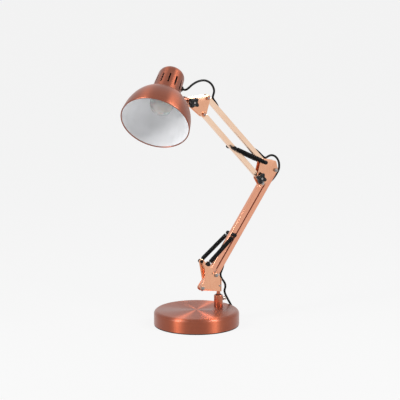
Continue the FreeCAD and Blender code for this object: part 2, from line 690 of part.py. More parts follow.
def build_arms():
    lower_seat = across(LOWER_ANCHOR, SPRING_ROD_RADIUS, -WELL_PAST, WELL_PAST)
    upper_seat = across(UPPER_ANCHOR, SPRING_ROD_RADIUS, -WELL_PAST, WELL_PAST)
    save("lower_inner_bar", bar(LOWER_INNER, LOWER_WAY, LOWER_OPEN, LOWER_LENGTH).cut(lower_seat))
    save("lower_outer_bar", bar(LOWER_OUTER, LOWER_WAY, LOWER_OPEN, LOWER_LENGTH))
    save("upper_inner_bar", bar(ELBOW_INNER, UPPER_WAY, UPPER_OPEN, UPPER_LENGTH).cut(upper_seat))
    save("upper_outer_bar", bar(ELBOW_OUTER, UPPER_WAY, UPPER_OPEN, UPPER_LENGTH))


def knob_faces():
    """Where a knob's collar starts, where its lobes start and where they end, along -Y."""
    collar = -(PLATE_OUTSIDE + KNOB_GAP)
    back = collar - KNOB_COLLAR_HEIGHT
    return collar, back, back - KNOB_THICKNESS


def knob_bolt(centre):
    """The bolt that a star knob turns on: hexagon head on the far side, bright tip in the knob."""
    tip = knob_faces()[2] - KNOB_BOLT_TIP
    head = hexagon(at(centre.x, centre.z, PLATE_OUTSIDE),
                   at(centre.x, centre.z, PLATE_OUTSIDE + NUT_HEIGHT), NUT_ACROSS_FLATS)
    return across(centre, BOLT_RADIUS, tip, PLATE_OUTSIDE).fuse(head).removeSplitter()


def knob(centre, turn):
    """A lobed star knob on the near side."""
    collar, back, front = knob_faces()
    body = across(centre, KNOB_HUB_RADIUS, back, front)
    for n in range(KNOB_LOBES):
        way = heading(turn + n * 360 / KNOB_LOBES)
        lobe = centre + way * (KNOB_LOBE_REACH - KNOB_LOBE_RADIUS)
        body = body.fuse(across(lobe, KNOB_LOBE_RADIUS, back, front))
    body = body.removeSplitter()
    body = body.makeFillet(KNOB_EDGE_ROUND,
                           [e for e in body.Edges if abs(e.CenterOfMass.y - front) < 1e-6])
    return drilled(body.fuse(across(centre, KNOB_COLLAR_RADIUS, collar, back)), centre)


def build_elbow():
    for name, side in (("elbow_plate_near", NEAR), ("elbow_plate_far", FAR)):
        plate = belt([disc(LOWER_INNER_TOP, ELBOW_PLATE_RADIUS),
                      disc(LOWER_OUTER_TOP, ELBOW_SMALL_RADIUS),
                      disc(ELBOW_CORNER, ELBOW_CORNER_RADIUS),
                      disc(ELBOW_OUTER, ELBOW_PLATE_RADIUS),
                      disc(ELBOW_INNER, ELBOW_PLATE_RADIUS)],
                     side * PLATE_INSIDE, side * PLATE_OUTSIDE)
        save(name, drilled(plate, LOWER_INNER_TOP, LOWER_OUTER_TOP, ELBOW_OUTER, ELBOW_INNER))
    save("elbow_bolts", bolt(LOWER_INNER_TOP), bolt(LOWER_OUTER_TOP), knob_bolt(ELBOW_INNER),
         rod(ELBOW_OUTER, UPPER_SPRING_FOOT_Y))
    save("elbow_nuts", nut(LOWER_INNER_TOP), nut(LOWER_OUTER_TOP), *washers(LOWER_INNER_TOP),
         *washers(LOWER_OUTER_TOP), *washers(ELBOW_INNER), *washers(ELBOW_OUTER))
    save("elbow_knob", knob(ELBOW_INNER, ELBOW_KNOB_TURN))


def build_head():
    for name, side in (("head_plate_near", NEAR), ("head_plate_far", FAR)):
        plate = belt([disc(HEAD_PIVOT, HEAD_NOSE_RADIUS), disc(UPPER_INNER_TOP, HEAD_PLATE_RADIUS),
                      disc(UPPER_OUTER_TOP, HEAD_PLATE_RADIUS)],
                     side * PLATE_INSIDE, side * PLATE_OUTSIDE)
        save(name, drilled(plate, HEAD_PIVOT, UPPER_INNER_TOP, UPPER_OUTER_TOP))
    save("head_bolts", bolt(UPPER_INNER_TOP), bolt(UPPER_OUTER_TOP), knob_bolt(HEAD_PIVOT))
    save("head_nuts", nut(UPPER_INNER_TOP), nut(UPPER_OUTER_TOP), *washers(UPPER_INNER_TOP),
         *washers(UPPER_OUTER_TOP), *washers(HEAD_PIVOT))
    save("head_knob", knob(HEAD_PIVOT, HEAD_KNOB_TURN))


# ---------------------------------------------------------------------------
# Lug, swivel pin and shade
# ---------------------------------------------------------------------------

PIN_WAY = heading(-PIN_FALL)
PIN_UP = heading(90 - PIN_FALL)


def pin_at(distance):
    """A point of the swivel pin's axis, that far from the tilt pivot towards the shade."""
    return HEAD_PIVOT - PIN_WAY * distance


def shade_frame():
    """The shade's own frame: z along its axis from the rim to the cap, x towards the pin."""
    lean, turn = math.radians(SHADE_LEAN), math.radians(SHADE_TURN)
    upright = PIN_UP * math.cos(turn) + ACROSS * math.sin(turn)
    axis = PIN_WAY * math.sin(lean) + upright * math.cos(lean)
    radial = (PIN_WAY - axis * math.sin(lean)).normalize()
    origin = pin_at(PIN_REACH) - axis * SHADE_PIN_HEIGHT
    return Placement(origin, Rotation(radial, axis.cross(radial), axis, "ZXY"))


SHADE = shade_frame()


def in_shade(solid):
    """Moves a solid made about +Z into the shade's place."""
    placed = solid.copy()
    placed.Placement = SHADE.multiply(placed.Placement)
    return placed


def pin_from_axis(distance):
    """A point of the swivel pin's axis in the shade's own frame."""
    lean = math.radians(SHADE_LEAN)
    return Vector(distance * math.cos(lean), 0, SHADE_PIN_HEIGHT + distance * math.sin(lean))


def cap_radius(height):
    """The outside radius of the cap at a height above the rim."""
    return CAP_RADIUS_AT_FOOT - (height - CAP_FOOT) * math.tan(math.radians(CAP_TAPER))


def grommet_at(distance):
    """A point of the grommet's axis in the shade's own frame."""
    turn = math.radians(GROMMET_TURN)
    return Vector(distance * math.cos(turn), distance * math.sin(turn), GROMMET_HEIGHT)


def shade_block(inset):
    """The dome and the cap as one solid, taken in by a wall's thickness."""
    radius, height = SHADE_RIM_RADIUS - inset, SHADE_DOME_HEIGHT - inset
    unit = Part.Circle(Vector(), ACROSS, 1.0)
    quarter = Part.ArcOfCircle(unit, 0, math.pi / 2).toShape()
    stretch = FreeCAD.Matrix(radius, 0, 0, 0, 0, 1, 0, 0, 0, 0, height, 0, 0, 0, 0, 1)
    quarter = quarter.transformGeometry(stretch)
    if quarter.BoundBox.ZMin < -1:
        quarter = quarter.mirror(Vector(), UP)
    rim, crown = Vector(radius, 0, 0), at(0, height)
    outline = Part.Wire(Part.__sortEdges__([quarter.Edges[0], Part.makeLine(crown, Vector()),
                                            Part.makeLine(Vector(), rim)]))
    dome = Part.Face(outline).revolve(Vector(), UP, 360)
    top = SHADE_HEIGHT - inset
    foot = CAP_FOOT - CAP_TOP_ROUND
    cap = Part.makeCone(cap_radius(foot) - inset, cap_radius(top) - inset, top - foot, at(0, foot))
    cap = cap.makeFillet(CAP_TOP_ROUND - inset, [highest(cap)])
    block = dome.fuse(cap)
    seam = [e for e in circles_of(block) if e.BoundBox.ZLength < 1e-3
            and foot < e.CenterOfMass.z < SHADE_DOME_HEIGHT and e.BoundBox.XLength > cap_radius(top)]
    return block.makeFillet(CAP_FOOT_FILLET + inset, seam)


def slot(n):
    """One upright vent slot with round ends, cut outwards from the axis."""
    half, inner = SLOT_WIDTH / 2, HOLDER_RADIUS
    block = Part.makeBox(CAP_RADIUS_AT_FOOT, SLOT_WIDTH, SLOT_TOP - SLOT_FOOT - SLOT_WIDTH,
                         Vector(inner, -half, SLOT_FOOT + half))
    for z in (SLOT_FOOT + half, SLOT_TOP - half):
        block = block.fuse(cylinder(at(inner, z), at(inner + CAP_RADIUS_AT_FOOT, z), half))
    block.rotate(Vector(), UP, n * SLOT_PITCH)
    return block


def build_shade():
    outside, inside = shade_block(0.0), shade_block(SHADE_WALL)
    wall = outside.cut(inside)
    shell = wall.fuse(Part.makeTorus(SHADE_RIM_RADIUS - RIM_BEAD / 2, RIM_BEAD, at(0, RIM_BEAD)))
    for n in range(SLOT_FIRST, SLOT_LAST + 1):
        shell = shell.cut(slot(n))
    grommet_hole = cylinder(grommet_at(HOLDER_RADIUS), grommet_at(WELL_PAST), GROMMET_NECK_RADIUS)
    shell = shell.cut(grommet_hole)
    pin_hole = cylinder(pin_from_axis(0), pin_from_axis(WELL_PAST), PIN_RADIUS)
    save("shade", in_shade(shell.cut(cylinder(pin_from_axis(HOLDER_RADIUS),
                                              pin_from_axis(WELL_PAST), PIN_RADIUS))))

    boss = cylinder(pin_from_axis(HOLDER_RADIUS), pin_from_axis(BOSS_END), BOSS_RADIUS)
    save("pin_boss", in_shade(boss.cut(outside).cut(pin_hole)))

    wall_at = cap_radius(SHADE_PIN_HEIGHT) / math.cos(math.radians(SHADE_LEAN))
    clamp_foot = wall_at - SHADE_WALL - CLAMP_NUT_HEIGHT - CLAMP_NUT_RADIUS * math.sin(
        math.radians(SHADE_LEAN))
    clamp = cylinder(pin_from_axis(clamp_foot), pin_from_axis(WELL_PAST), CLAMP_NUT_RADIUS)
    clamp = in_shade(clamp.common(inside).cut(pin_hole))
    pin = cylinder(pin_at(PIN_START), pin_at(PIN_REACH - clamp_foot + PIN_TIP), PIN_RADIUS)
    save("swivel_pin", pin.makeChamfer(PIN_CHAMFER, circles_of(pin)), clamp)

    wall_radius = cap_radius(GROMMET_HEIGHT)
    rubber = cylinder(grommet_at(wall_radius - GROMMET_DEPTH),
                      grommet_at(wall_radius + GROMMET_REACH), GROMMET_FLANGE_RADIUS)
    cord_hole = cylinder(grommet_at(0), grommet_at(WELL_PAST), CORD_RADIUS)
    save("cord_grommet", in_shade(rubber.cut(wall.cut(grommet_hole)).cut(cord_hole)))


def build_lug():
    """The block between the head plates: it tilts on the head's bolt and carries the pin."""
    eye = across(HEAD_PIVOT, LUG_RADIUS, -BAR_SIDE, BAR_SIDE)
    collar = cylinder(HEAD_PIVOT, pin_at(LUG_COLLAR_END), LUG_COLLAR_RADIUS)
    collar = collar.common(across(HEAD_PIVOT, WELL_PAST, -BAR_SIDE, BAR_SIDE))
    bore = cylinder(pin_at(PIN_START - RUNNING_GAP), pin_at(WELL_PAST), PIN_RADIUS + RUNNING_GAP)
    save("shade_lug", drilled(eye.fuse(collar).cut(bore), HEAD_PIVOT).removeSplitter())


# ---------------------------------------------------------------------------
# Lamp holder and bulb
# ---------------------------------------------------------------------------

def on_axis(radius, foot, top):
    """A round bar on the shade's axis, in its own frame."""
    return Part.makeCylinder(radius, top - foot, at(0, foot))


def cone_on_axis(foot_radius, top_radius, foot, top):
    return Part.makeCone(foot_radius, top_radius, top - foot, at(0, foot))


def bulb_block(inset):
    """The bulb's globe and neck, taken in by a wall's thickness and open towards its cap."""
    globe = Part.makeSphere(BULB_RADIUS - inset, at(0, BULB_CENTRE))
    globe = globe.cut(on_axis(WELL_PAST, BULB_SHOULDER, BULB_SHOULDER + WELL_PAST))
    shoulder = cone_on_axis(BULB_SHOULDER_RADIUS - inset, BULB_NECK_RADIUS - inset,
                            BULB_SHOULDER, BULB_NECK)
    neck = cone_on_axis(BULB_NECK_RADIUS - inset, BULB_CAP_RADIUS - inset, BULB_NECK, BULB_CAP_FOOT)
    return globe.fuse(shoulder).fuse(neck)


def build_bulb():
    save("bulb_glass", in_shade(bulb_block(0.0).cut(bulb_block(BULB_GLASS_WALL))))
    cap_end = BULB_CAP_TOP - BULB_CAP_TIP_HEIGHT
    cap = on_axis(BULB_CAP_RADIUS, BULB_CAP_FOOT, cap_end)
    cap = cap.fuse(cone_on_axis(BULB_CAP_RADIUS, BULB_CAP_TIP_RADIUS, cap_end, BULB_CAP_TOP))
    save("bulb_screw_cap", in_shade(cap))


def build_holder():
    bore = BULB_CAP_RADIUS + HOLDER_SHELL_GAP + HOLDER_SHELL_WALL
    contact_top = BULB_CAP_TOP + CONTACT_HEIGHT
    holder = on_axis(HOLDER_RADIUS, HOLDER_FOOT, HOLDER_TOP)
    holder = holder.makeFillet(HOLDER_EDGE_ROUND, [highest(holder)])
    save("lamp_holder", in_shade(holder.cut(on_axis(bore, HOLDER_FOOT, contact_top))))
    shell_foot, shell_top = HOLDER_FOOT + HOLDER_SHELL_INSET, BULB_CAP_TOP - BULB_CAP_TIP_HEIGHT
    shell = on_axis(bore, shell_foot, shell_top)
    shell = shell.cut(on_axis(bore - HOLDER_SHELL_WALL, shell_foot, shell_top))
    contact = on_axis(CONTACT_RADIUS, BULB_CAP_TOP, contact_top)
    save("holder_contacts", in_shade(shell), in_shade(contact))

    strap_top = HOLDER_TOP + STRAP_THICKNESS
    half = STRAP_WIDTH / 2
    bridge = Part.makeBox(STRAP_REACH + half, STRAP_WIDTH, STRAP_THICKNESS,
                          Vector(-half, -half, HOLDER_TOP))
    leg = Part.makeBox(STRAP_THICKNESS, STRAP_WIDTH, strap_top - STRAP_FOOT,
                       Vector(STRAP_REACH - STRAP_THICKNESS, -half, STRAP_FOOT))
    strap = bridge.fuse(leg).cut(on_axis(NIPPLE_RADIUS, HOLDER_TOP, strap_top)).removeSplitter()
    strap = strap.cut(cylinder(pin_from_axis(0), pin_from_axis(WELL_PAST), CLAMP_NUT_RADIUS))
    nipple = on_axis(NIPPLE_RADIUS, HOLDER_TOP, strap_top)
    nipple = nipple.fuse(on_axis(NIPPLE_NUT_RADIUS, strap_top, strap_top + NIPPLE_NUT_HEIGHT))
    save("holder_strap", in_shade(strap), in_shade(nipple.removeSplitter()))


# ---------------------------------------------------------------------------
# Lead, switch and plug
# ---------------------------------------------------------------------------

def in_bar(foot, way, opening, places):
    """Points of the lead in an arm: distance along the bar and height above its centre line."""
    return [foot + way * s + opening * q for s, q in places]


def beside(place, offsets):
    """Points of the lead near a pivot or the post, each as an (x, z, y) offset from it."""
    return [place + at(*offset) for offset in offsets]


def floor(side, back, height):
    """A point behind the base: sideways, backwards and up."""
    turn = math.radians(FLOOR_HEADING)
    return Vector(side * math.cos(turn) + back * math.sin(turn),
                  back * math.cos(turn) - side * math.sin(turn), height)


def on_coil(degrees):
    """A point on the outermost turn of the coil, in its lowest layer."""
    radius = COIL_MEAN_RADIUS + (COIL_COLUMNS - 1) * CORD_RADIUS
    turn = math.radians(degrees)
    return floor(COIL_SIDE + radius * math.cos(turn), COIL_BACK + radius * math.sin(turn),
                 CORD_RADIUS)


def halfway(start, end):
    """Where two pieces of the lead meet: in the middle of a straight run, so their ends agree."""
    return (start + end) * 0.5


def build_lead():
    wall_radius = cap_radius(GROMMET_HEIGHT)
    leaves_shade = grommet_at(wall_radius + GROMMET_REACH)
    inner = cylinder(grommet_at(0), leaves_shade, CORD_RADIUS)
    save("cord_in_shade", in_shade(inner.cut(on_axis(HOLDER_RADIUS, HOLDER_FOOT, HOLDER_TOP))))

    straight_on = grommet_at(wall_radius + GROMMET_REACH + GROMMET_RUN)
    head_loop = [SHADE.multVec(leaves_shade), SHADE.multVec(straight_on)]
    head_loop += beside(HEAD_PIVOT, LEAD_OVER_LUG) + beside(UPPER_OUTER_TOP, LEAD_BEHIND_HEAD)
    upper = in_bar(UPPER_OUTER_TOP, UPPER_WAY * -1, UPPER_OPEN, LEAD_INTO_UPPER)
    upper += in_bar(ELBOW_OUTER, UPPER_WAY, UPPER_OPEN, LEAD_OUT_OF_UPPER)
    upper_start, upper_end = halfway(*upper[:2]), halfway(*upper[-2:])
    save("cord_head_loop", tube("cord_head_loop", head_loop + [upper[0], upper_start]))
    save("cord_in_upper_arm", tube("cord_in_upper_arm", [upper_start, *upper[1:-1], upper_end]))

    elbow_loop = beside(ELBOW_OUTER, LEAD_OVER_ELBOW) + beside(LOWER_OUTER_TOP, LEAD_BEHIND_ELBOW)
    lower = in_bar(LOWER_OUTER_TOP, LOWER_WAY * -1, LOWER_OPEN, LEAD_INTO_LOWER)
    lower += in_bar(LOWER_OUTER, LOWER_WAY, LOWER_OPEN, LEAD_OUT_OF_LOWER)
    lower_start, lower_end = halfway(*lower[:2]), halfway(*lower[-2:])
    save("cord_elbow_loop", tube("cord_elbow_loop", [upper_end, upper[-1], *elbow_loop, lower[0],
                                                     lower_start]))
    save("cord_in_lower_arm", tube("cord_in_lower_arm", [lower_start, *lower[1:-1], lower_end]))

    at_bracket = beside(LOWER_OUTER, LEAD_AT_BRACKET)
    drop = beside(on_post(BASE_HEIGHT), LEAD_BEHIND_POST)
    leaves_bracket = halfway(at_bracket[-1], drop[0])
    save("cord_at_bracket", tube("cord_at_bracket", [lower_end, lower[-1], *at_bracket,
                                                     leaves_bracket]))
    entry_side, exit_side = SWITCH_SIDE + SWITCH_LENGTH / 2, SWITCH_SIDE - SWITCH_LENGTH / 2
    switch_entry = floor(entry_side, SWITCH_BACK, SWITCH_CORD_Z)
    switch_exit = floor(exit_side, SWITCH_BACK, SWITCH_CORD_Z)
    drop += [floor(*place) for place in LEAD_TO_SWITCH]
    drop.append(floor(entry_side + SWITCH_RUN_IN, SWITCH_BACK, SWITCH_CORD_Z))
    save("cord_to_switch", tube("cord_to_switch", [leaves_bracket, *drop, switch_entry]))

    into_coil = [switch_exit, floor(exit_side - SWITCH_RUN_OUT, SWITCH_BACK, SWITCH_CORD_Z),
                 floor(*LEAD_INTO_COIL), on_coil(COIL_JOIN)]
    plug_entry = floor(PLUG_SIDE - RELIEF_LENGTH, PLUG_BACK, PLUG_HEIGHT / 2)
    before_plug = floor(PLUG_SIDE - RELIEF_LENGTH - PLUG_RUN_IN, PLUG_BACK, PLUG_HEIGHT / 2)
    out_of_coil = [on_coil(COIL_LEAVE), floor(*LEAD_OUT_OF_COIL), before_plug, plug_entry]
    save("cord_coil_ends", tube("cord_to_coil", into_coil), tube("cord_to_plug", out_of_coil))

    centre, top = floor(COIL_SIDE, COIL_BACK, 0), floor(COIL_SIDE, COIL_BACK,
                                                       COIL_LAYERS * 2 * CORD_RADIUS)
    half_band = COIL_COLUMNS * CORD_RADIUS
    ring = cylinder(centre, top, COIL_MEAN_RADIUS + half_band)
    save("cord_coil", ring.cut(cylinder(centre, top, COIL_MEAN_RADIUS - half_band)))


def in_switch(solid):
    """Moves a solid made about the switch's centre, along X, to its place on the floor."""
    placed = solid.copy()
    placed.Placement = Placement(floor(SWITCH_SIDE, SWITCH_BACK, 0),
                                 Rotation(UP, -FLOOR_HEADING)).multiply(placed.Placement)
    return placed


def centred_box(length, width, foot, top):
    return Part.makeBox(length, width, top - foot, Vector(-length / 2, -width / 2, foot))


def build_switch():
    split = SWITCH_HEIGHT / 2
    block = centred_box(SWITCH_LENGTH, SWITCH_WIDTH, 0, SWITCH_HEIGHT)
    block = block.makeFillet(SWITCH_END_ROUND,
                             [e for e in block.Edges if abs(e.Length - SWITCH_HEIGHT) < 1e-6])
    block = block.makeFillet(SWITCH_EDGE_ROUND,
                             [e for e in block.Edges if e.BoundBox.ZLength < 1e-6])
    block = block.cut(centred_box(SWITCH_LENGTH - 2 * SWITCH_END_WALL,
                                  SWITCH_WIDTH - 2 * SWITCH_WALL, SWITCH_WALL,
                                  SWITCH_HEIGHT - SWITCH_WALL))
    lower_half = centred_box(2 * SWITCH_LENGTH, 2 * SWITCH_WIDTH, 0, split)
    window = centred_box(ROCKER_LENGTH, ROCKER_WIDTH, split, 2 * SWITCH_HEIGHT)
    save("switch_base", in_switch(block.common(lower_half)))
    save("switch_cover", in_switch(block.cut(lower_half).cut(window)))


def build_rocker():
    """The rocker: a short drum with a dished top, tipped on a pivot across the switch."""
    def through(radius, half, z):
        return cylinder(Vector(0, -half, z), Vector(0, half, z), radius)

    axis_z = SWITCH_HEIGHT - ROCKER_PIVOT_DEPTH
    top = SWITCH_HEIGHT + ROCKER_RISE
    half = ROCKER_WIDTH / 2 - ROCKER_GAP
    drum = through(ROCKER_CURVE, half, axis_z)
    drum = drum.common(centred_box(ROCKER_LENGTH - 2 * ROCKER_RISE, ROCKER_WIDTH,
                                   top - ROCKER_DEPTH, top))
    drum = drum.cut(through(ROCKER_DISH, WELL_PAST, SWITCH_HEIGHT + ROCKER_DISH))
    pivot = through(ROCKER_PIVOT_RADIUS, SWITCH_WIDTH / 2 - SWITCH_WALL - RUNNING_GAP, axis_z)
    rocker = drum.fuse(pivot).removeSplitter()
    rocker.rotate(at(0, axis_z), ACROSS, ROCKER_TILT)
    save("switch_rocker", in_switch(rocker))


def in_plug(solid):
    """Moves a solid made along +X from the origin to the plug's place on the floor."""
    placed = solid.copy()
    placed.Placement = Placement(floor(PLUG_SIDE, PLUG_BACK, 0),
                                 Rotation(UP, -FLOOR_HEADING)).multiply(placed.Placement)
    return placed


def build_plug():
    neck, wide, shoulder = PLUG_NECK_WIDTH / 2, PLUG_WIDTH / 2, PLUG_LENGTH * PLUG_SHOULDER_SHARE
    middle = PLUG_HEIGHT / 2
    corners = [Vector(x, y, 0) for x, y in (
        (0, -neck), (shoulder, -wide), (PLUG_LENGTH, -wide), (PLUG_LENGTH, wide),
        (shoulder, wide), (0, neck), (0, -neck))]
    body = Part.Face(Part.makePolygon(corners)).extrude(at(0, PLUG_HEIGHT))
    body = body.makeFillet(PLUG_CORNER_ROUND,
                           [e for e in body.Edges if abs(e.Length - PLUG_HEIGHT) < 1e-6])
    body = body.makeFillet(PLUG_EDGE_ROUND, [e for e in body.Edges if e.BoundBox.ZLength < 1e-6])
    relief = Part.makeCone(RELIEF_TIP_RADIUS, RELIEF_FOOT_RADIUS, RELIEF_LENGTH + PLUG_EDGE_ROUND,
                           at(-RELIEF_LENGTH, middle), at(1, 0))
    save("plug_body", in_plug(body.fuse(relief).removeSplitter()))
    pins = []
    for side in (NEAR, FAR):
        y = side * PLUG_PIN_PITCH / 2
        pin = cylinder(at(PLUG_LENGTH, middle, y), at(PLUG_LENGTH + PLUG_PIN_LENGTH, middle, y),
                       PLUG_PIN_RADIUS)
        end = max(circles_of(pin), key=lambda e: e.CenterOfMass.x)
        pins.append(in_plug(pin.makeFillet(PLUG_PIN_ROUND, [end])))
    save("plug_pins", *pins)


os.makedirs("parts", exist_ok=True)
build_base()
build_post()
build_thumb_screw()
build_bracket()
build_springs()
build_arms()
build_elbow()
build_head()
build_lug()
build_shade()
build_bulb()
build_holder()
build_lead()
build_switch()
build_rocker()
build_plug()
for name, length, radii, share in MEASURES:
    print(f"{name}: {length:.0f} mm, volume share {share:.3f}, radii",
          ", ".join(f"{radius:.1f}" for radius in radii))
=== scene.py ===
import math

import bmesh
import bpy
import numpy as np
from mathutils import Matrix


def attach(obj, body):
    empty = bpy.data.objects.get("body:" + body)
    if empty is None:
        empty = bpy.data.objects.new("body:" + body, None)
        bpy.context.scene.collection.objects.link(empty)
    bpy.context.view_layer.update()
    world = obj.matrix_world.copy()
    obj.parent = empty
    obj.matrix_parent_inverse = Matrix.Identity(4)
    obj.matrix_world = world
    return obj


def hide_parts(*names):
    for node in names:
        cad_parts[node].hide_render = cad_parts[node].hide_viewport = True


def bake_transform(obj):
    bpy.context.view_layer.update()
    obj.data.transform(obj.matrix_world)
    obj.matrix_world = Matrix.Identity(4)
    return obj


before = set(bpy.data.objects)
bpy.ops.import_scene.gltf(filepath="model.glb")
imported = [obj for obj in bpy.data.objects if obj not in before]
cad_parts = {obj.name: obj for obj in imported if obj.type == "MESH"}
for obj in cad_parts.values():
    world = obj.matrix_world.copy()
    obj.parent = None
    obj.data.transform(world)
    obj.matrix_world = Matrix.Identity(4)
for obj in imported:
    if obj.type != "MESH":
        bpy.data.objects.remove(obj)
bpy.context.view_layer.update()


# ---------------------------------------------------------------------------
# The view: a long lens, well back, a little above the shade and turned to the
# lamp's left, as a catalogue picture is taken. The axes are the camera's right,
# its up and the way back to it.
# ---------------------------------------------------------------------------

VIEW_RIGHT = (0.8796, -0.4756, 0.0)
VIEW_UP = (0.0940, 0.1739, 0.9803)
VIEW_BACK = (-0.4662, -0.8623, 0.1977)
VIEW_PLACE = (-2.29864, -4.26763, 1.26021)
VIEW_SENSOR = 36.0
VIEW_LENS = 201.78

camera = bpy.data.objects.new("camera", bpy.data.cameras.new("camera"))
camera.data.sensor_width = VIEW_SENSOR
camera.data.lens = VIEW_LENS
camera.matrix_world = Matrix([
    [VIEW_RIGHT[n], VIEW_UP[n], VIEW_BACK[n], VIEW_PLACE[n]] for n in range(3)] + [[0, 0, 0, 1]])
bpy.context.scene.collection.objects.link(camera)
bpy.context.scene.camera = camera
bpy.context.scene.view_settings.view_transform = "Standard"


# ---------------------------------------------------------------------------
# The studio: a pale paper floor under an even pale surround, two tall soft boxes
# that stand either side of the camera and one overhead. Paper and surround show
# at their own colour to the camera and in metal, and the paper keeps a shadow.
# ---------------------------------------------------------------------------

def linear(code):
    """The linear colour of an sRGB hex value: the sRGB curve undone, channel by channel."""
    parts = [int(code[n:n + 2], 16) / 255 for n in (1, 3, 5)]
    return [c / 12.92 if c <= 0.04045 else ((c + 0.055) / 1.055) ** 2.4 for c in parts] + [1.0]


def add(tree, kind, values=(), links=(), **settings):
    """Adds a shader node with its settings, its sockets' values and the links into it."""
    node = tree.nodes.new("ShaderNode" + kind)
    for name, value in settings.items():
        setattr(node, name, value)
    for socket, value in dict(values).items():
        node.inputs[socket].default_value = value
    for socket, source in dict(links).items():
        tree.links.new(source, node.inputs[socket])
    return node


def empty_tree(owner):
    """The owner's node tree, cleared."""
    owner.use_nodes = True
    owner.node_tree.nodes.clear()
    return owner.node_tree


def seeing_rays(tree):
    """One for a ray from the camera, off a glossy surface or through glass, else nought."""
    path = add(tree, "LightPath")
    seen = add(tree, "Math", links={0: path.outputs["Is Camera Ray"],
                                    1: path.outputs["Is Glossy Ray"]}, operation="MAXIMUM")
    return add(tree, "Math", links={0: seen.outputs[0], 1: path.outputs["Is Transmission Ray"]},
               operation="MAXIMUM")


def two_tones(tree, source, dark, light, low=0.0, high=1.0):
    """A ramp from a dark tone at low to a light one at high."""
    tone = add(tree, "ValToRGB", links={"Fac": source})
    for element, code, at in zip(tone.color_ramp.elements, (dark, light), (low, high)):
        element.color, element.position = linear(code), at
    return tone


PAPER = linear("#f6f6f6")
PAPER_OWN = 0.95
PAPER_SHADED = linear("#3c3c3c")
SURROUND_LIGHT = 0.36

world = bpy.data.worlds.new("studio")
bpy.context.scene.world = world
tree = empty_tree(world)
seen = seeing_rays(tree)
shown = add(tree, "Background", {"Color": PAPER, "Strength": 1.0})
lighting = add(tree, "Background", {"Color": PAPER, "Strength": SURROUND_LIGHT})
surround = add(tree, "MixShader", links={0: seen.outputs[0], 1: lighting.outputs[0],
                                         2: shown.outputs[0]})
add(tree, "OutputWorld", links={"Surface": surround.outputs[0]})

paper = bpy.data.materials.new("matt white paper")
tree = empty_tree(paper)
seen = seeing_rays(tree)
glow = add(tree, "Emission", {"Color": PAPER, "Strength": PAPER_OWN})
shaded = add(tree, "BsdfDiffuse", {"Color": PAPER_SHADED})
own = add(tree, "AddShader", links={0: glow.outputs[0], 1: shaded.outputs[0]})
plain = add(tree, "BsdfDiffuse", {"Color": PAPER})
both = add(tree, "MixShader", links={0: seen.outputs[0], 1: plain.outputs[0], 2: own.outputs[0]})
add(tree, "OutputMaterial", links={"Surface": both.outputs[0]})

FLOOR_REACH = 30.0
floor_mesh = bpy.data.meshes.new("floor")
floor_mesh.from_pydata([(-FLOOR_REACH, -FLOOR_REACH, 0), (FLOOR_REACH, -FLOOR_REACH, 0),
                        (FLOOR_REACH, FLOOR_REACH, 0), (-FLOOR_REACH, FLOOR_REACH, 0)],
                       [], [(0, 1, 2, 3)])
floor_mesh.materials.append(paper)
paper_floor = bpy.data.objects.new("floor", floor_mesh)
bpy.context.scene.collection.objects.link(paper_floor)


def soft_box(name, azimuth, elevation, distance, width, height, power):
    """A flat light aimed at the middle of the lamp. Azimuth is turned from the camera's side."""
    turn = math.radians(azimuth) + math.atan2(VIEW_BACK[1], VIEW_BACK[0])
    rise = math.radians(elevation)
    middle = np.array([0.03, 0.0, 0.28])
    way = np.array([math.cos(turn) * math.cos(rise), math.sin(turn) * math.cos(rise),
                    math.sin(rise)])
    side = np.array([-math.sin(turn), math.cos(turn), 0.0])
    light = bpy.data.objects.new(name, bpy.data.lights.new(name, "AREA"))
    light.data.shape = "RECTANGLE"
    light.data.size, light.data.size_y = width, height
    light.data.energy = power
    columns = np.stack([side, np.cross(way, side), way, middle + way * distance], 1)
    light.matrix_world = Matrix([*columns.tolist(), [0, 0, 0, 1]])
    bpy.context.scene.collection.objects.link(light)
    return light


soft_box("soft box left", azimuth=-57, elevation=32, distance=1.7, width=0.30, height=1.4, power=25)
soft_box("soft box right", azimuth=56, elevation=38, distance=1.7, width=0.32, height=1.2, power=28)
overhead = soft_box("soft box overhead", azimuth=20, elevation=74, distance=1.8, width=1.4,
                    height=1.4, power=4)
# it only lifts the shadows, and no copper mirrors it
overhead.visible_glossy = False


# ---------------------------------------------------------------------------
# The lead: a round three-core flex in a smooth black PVC sheath. It leaves the
# shade by a grommet, loops over the head, runs in the arms' channels, drops
# behind the post to an in-line switch and is wound up to its plug.
# ---------------------------------------------------------------------------

FLEX = 4.8


def heading(degrees):
    """The unit direction in the arms' plane, turned up from +X."""
    return np.array([math.cos(math.radians(degrees)), 0.0, math.sin(math.radians(degrees))])


def unit(vector):
    return vector / np.linalg.norm(vector)


def grid(points, around=True):
    """The points of a grid and the faces between its rows. Around joins each row's ends."""
    rows, columns = points.shape[:2]
    number = np.arange(rows * columns).reshape(rows, columns)
    if around:
        number = np.hstack([number, number[:, :1]])
    faces = np.stack([number[:-1, :-1], number[:-1, 1:], number[1:, 1:], number[1:, :-1]], -1)
    return points.reshape(-1, 3), faces.reshape(-1, 4)


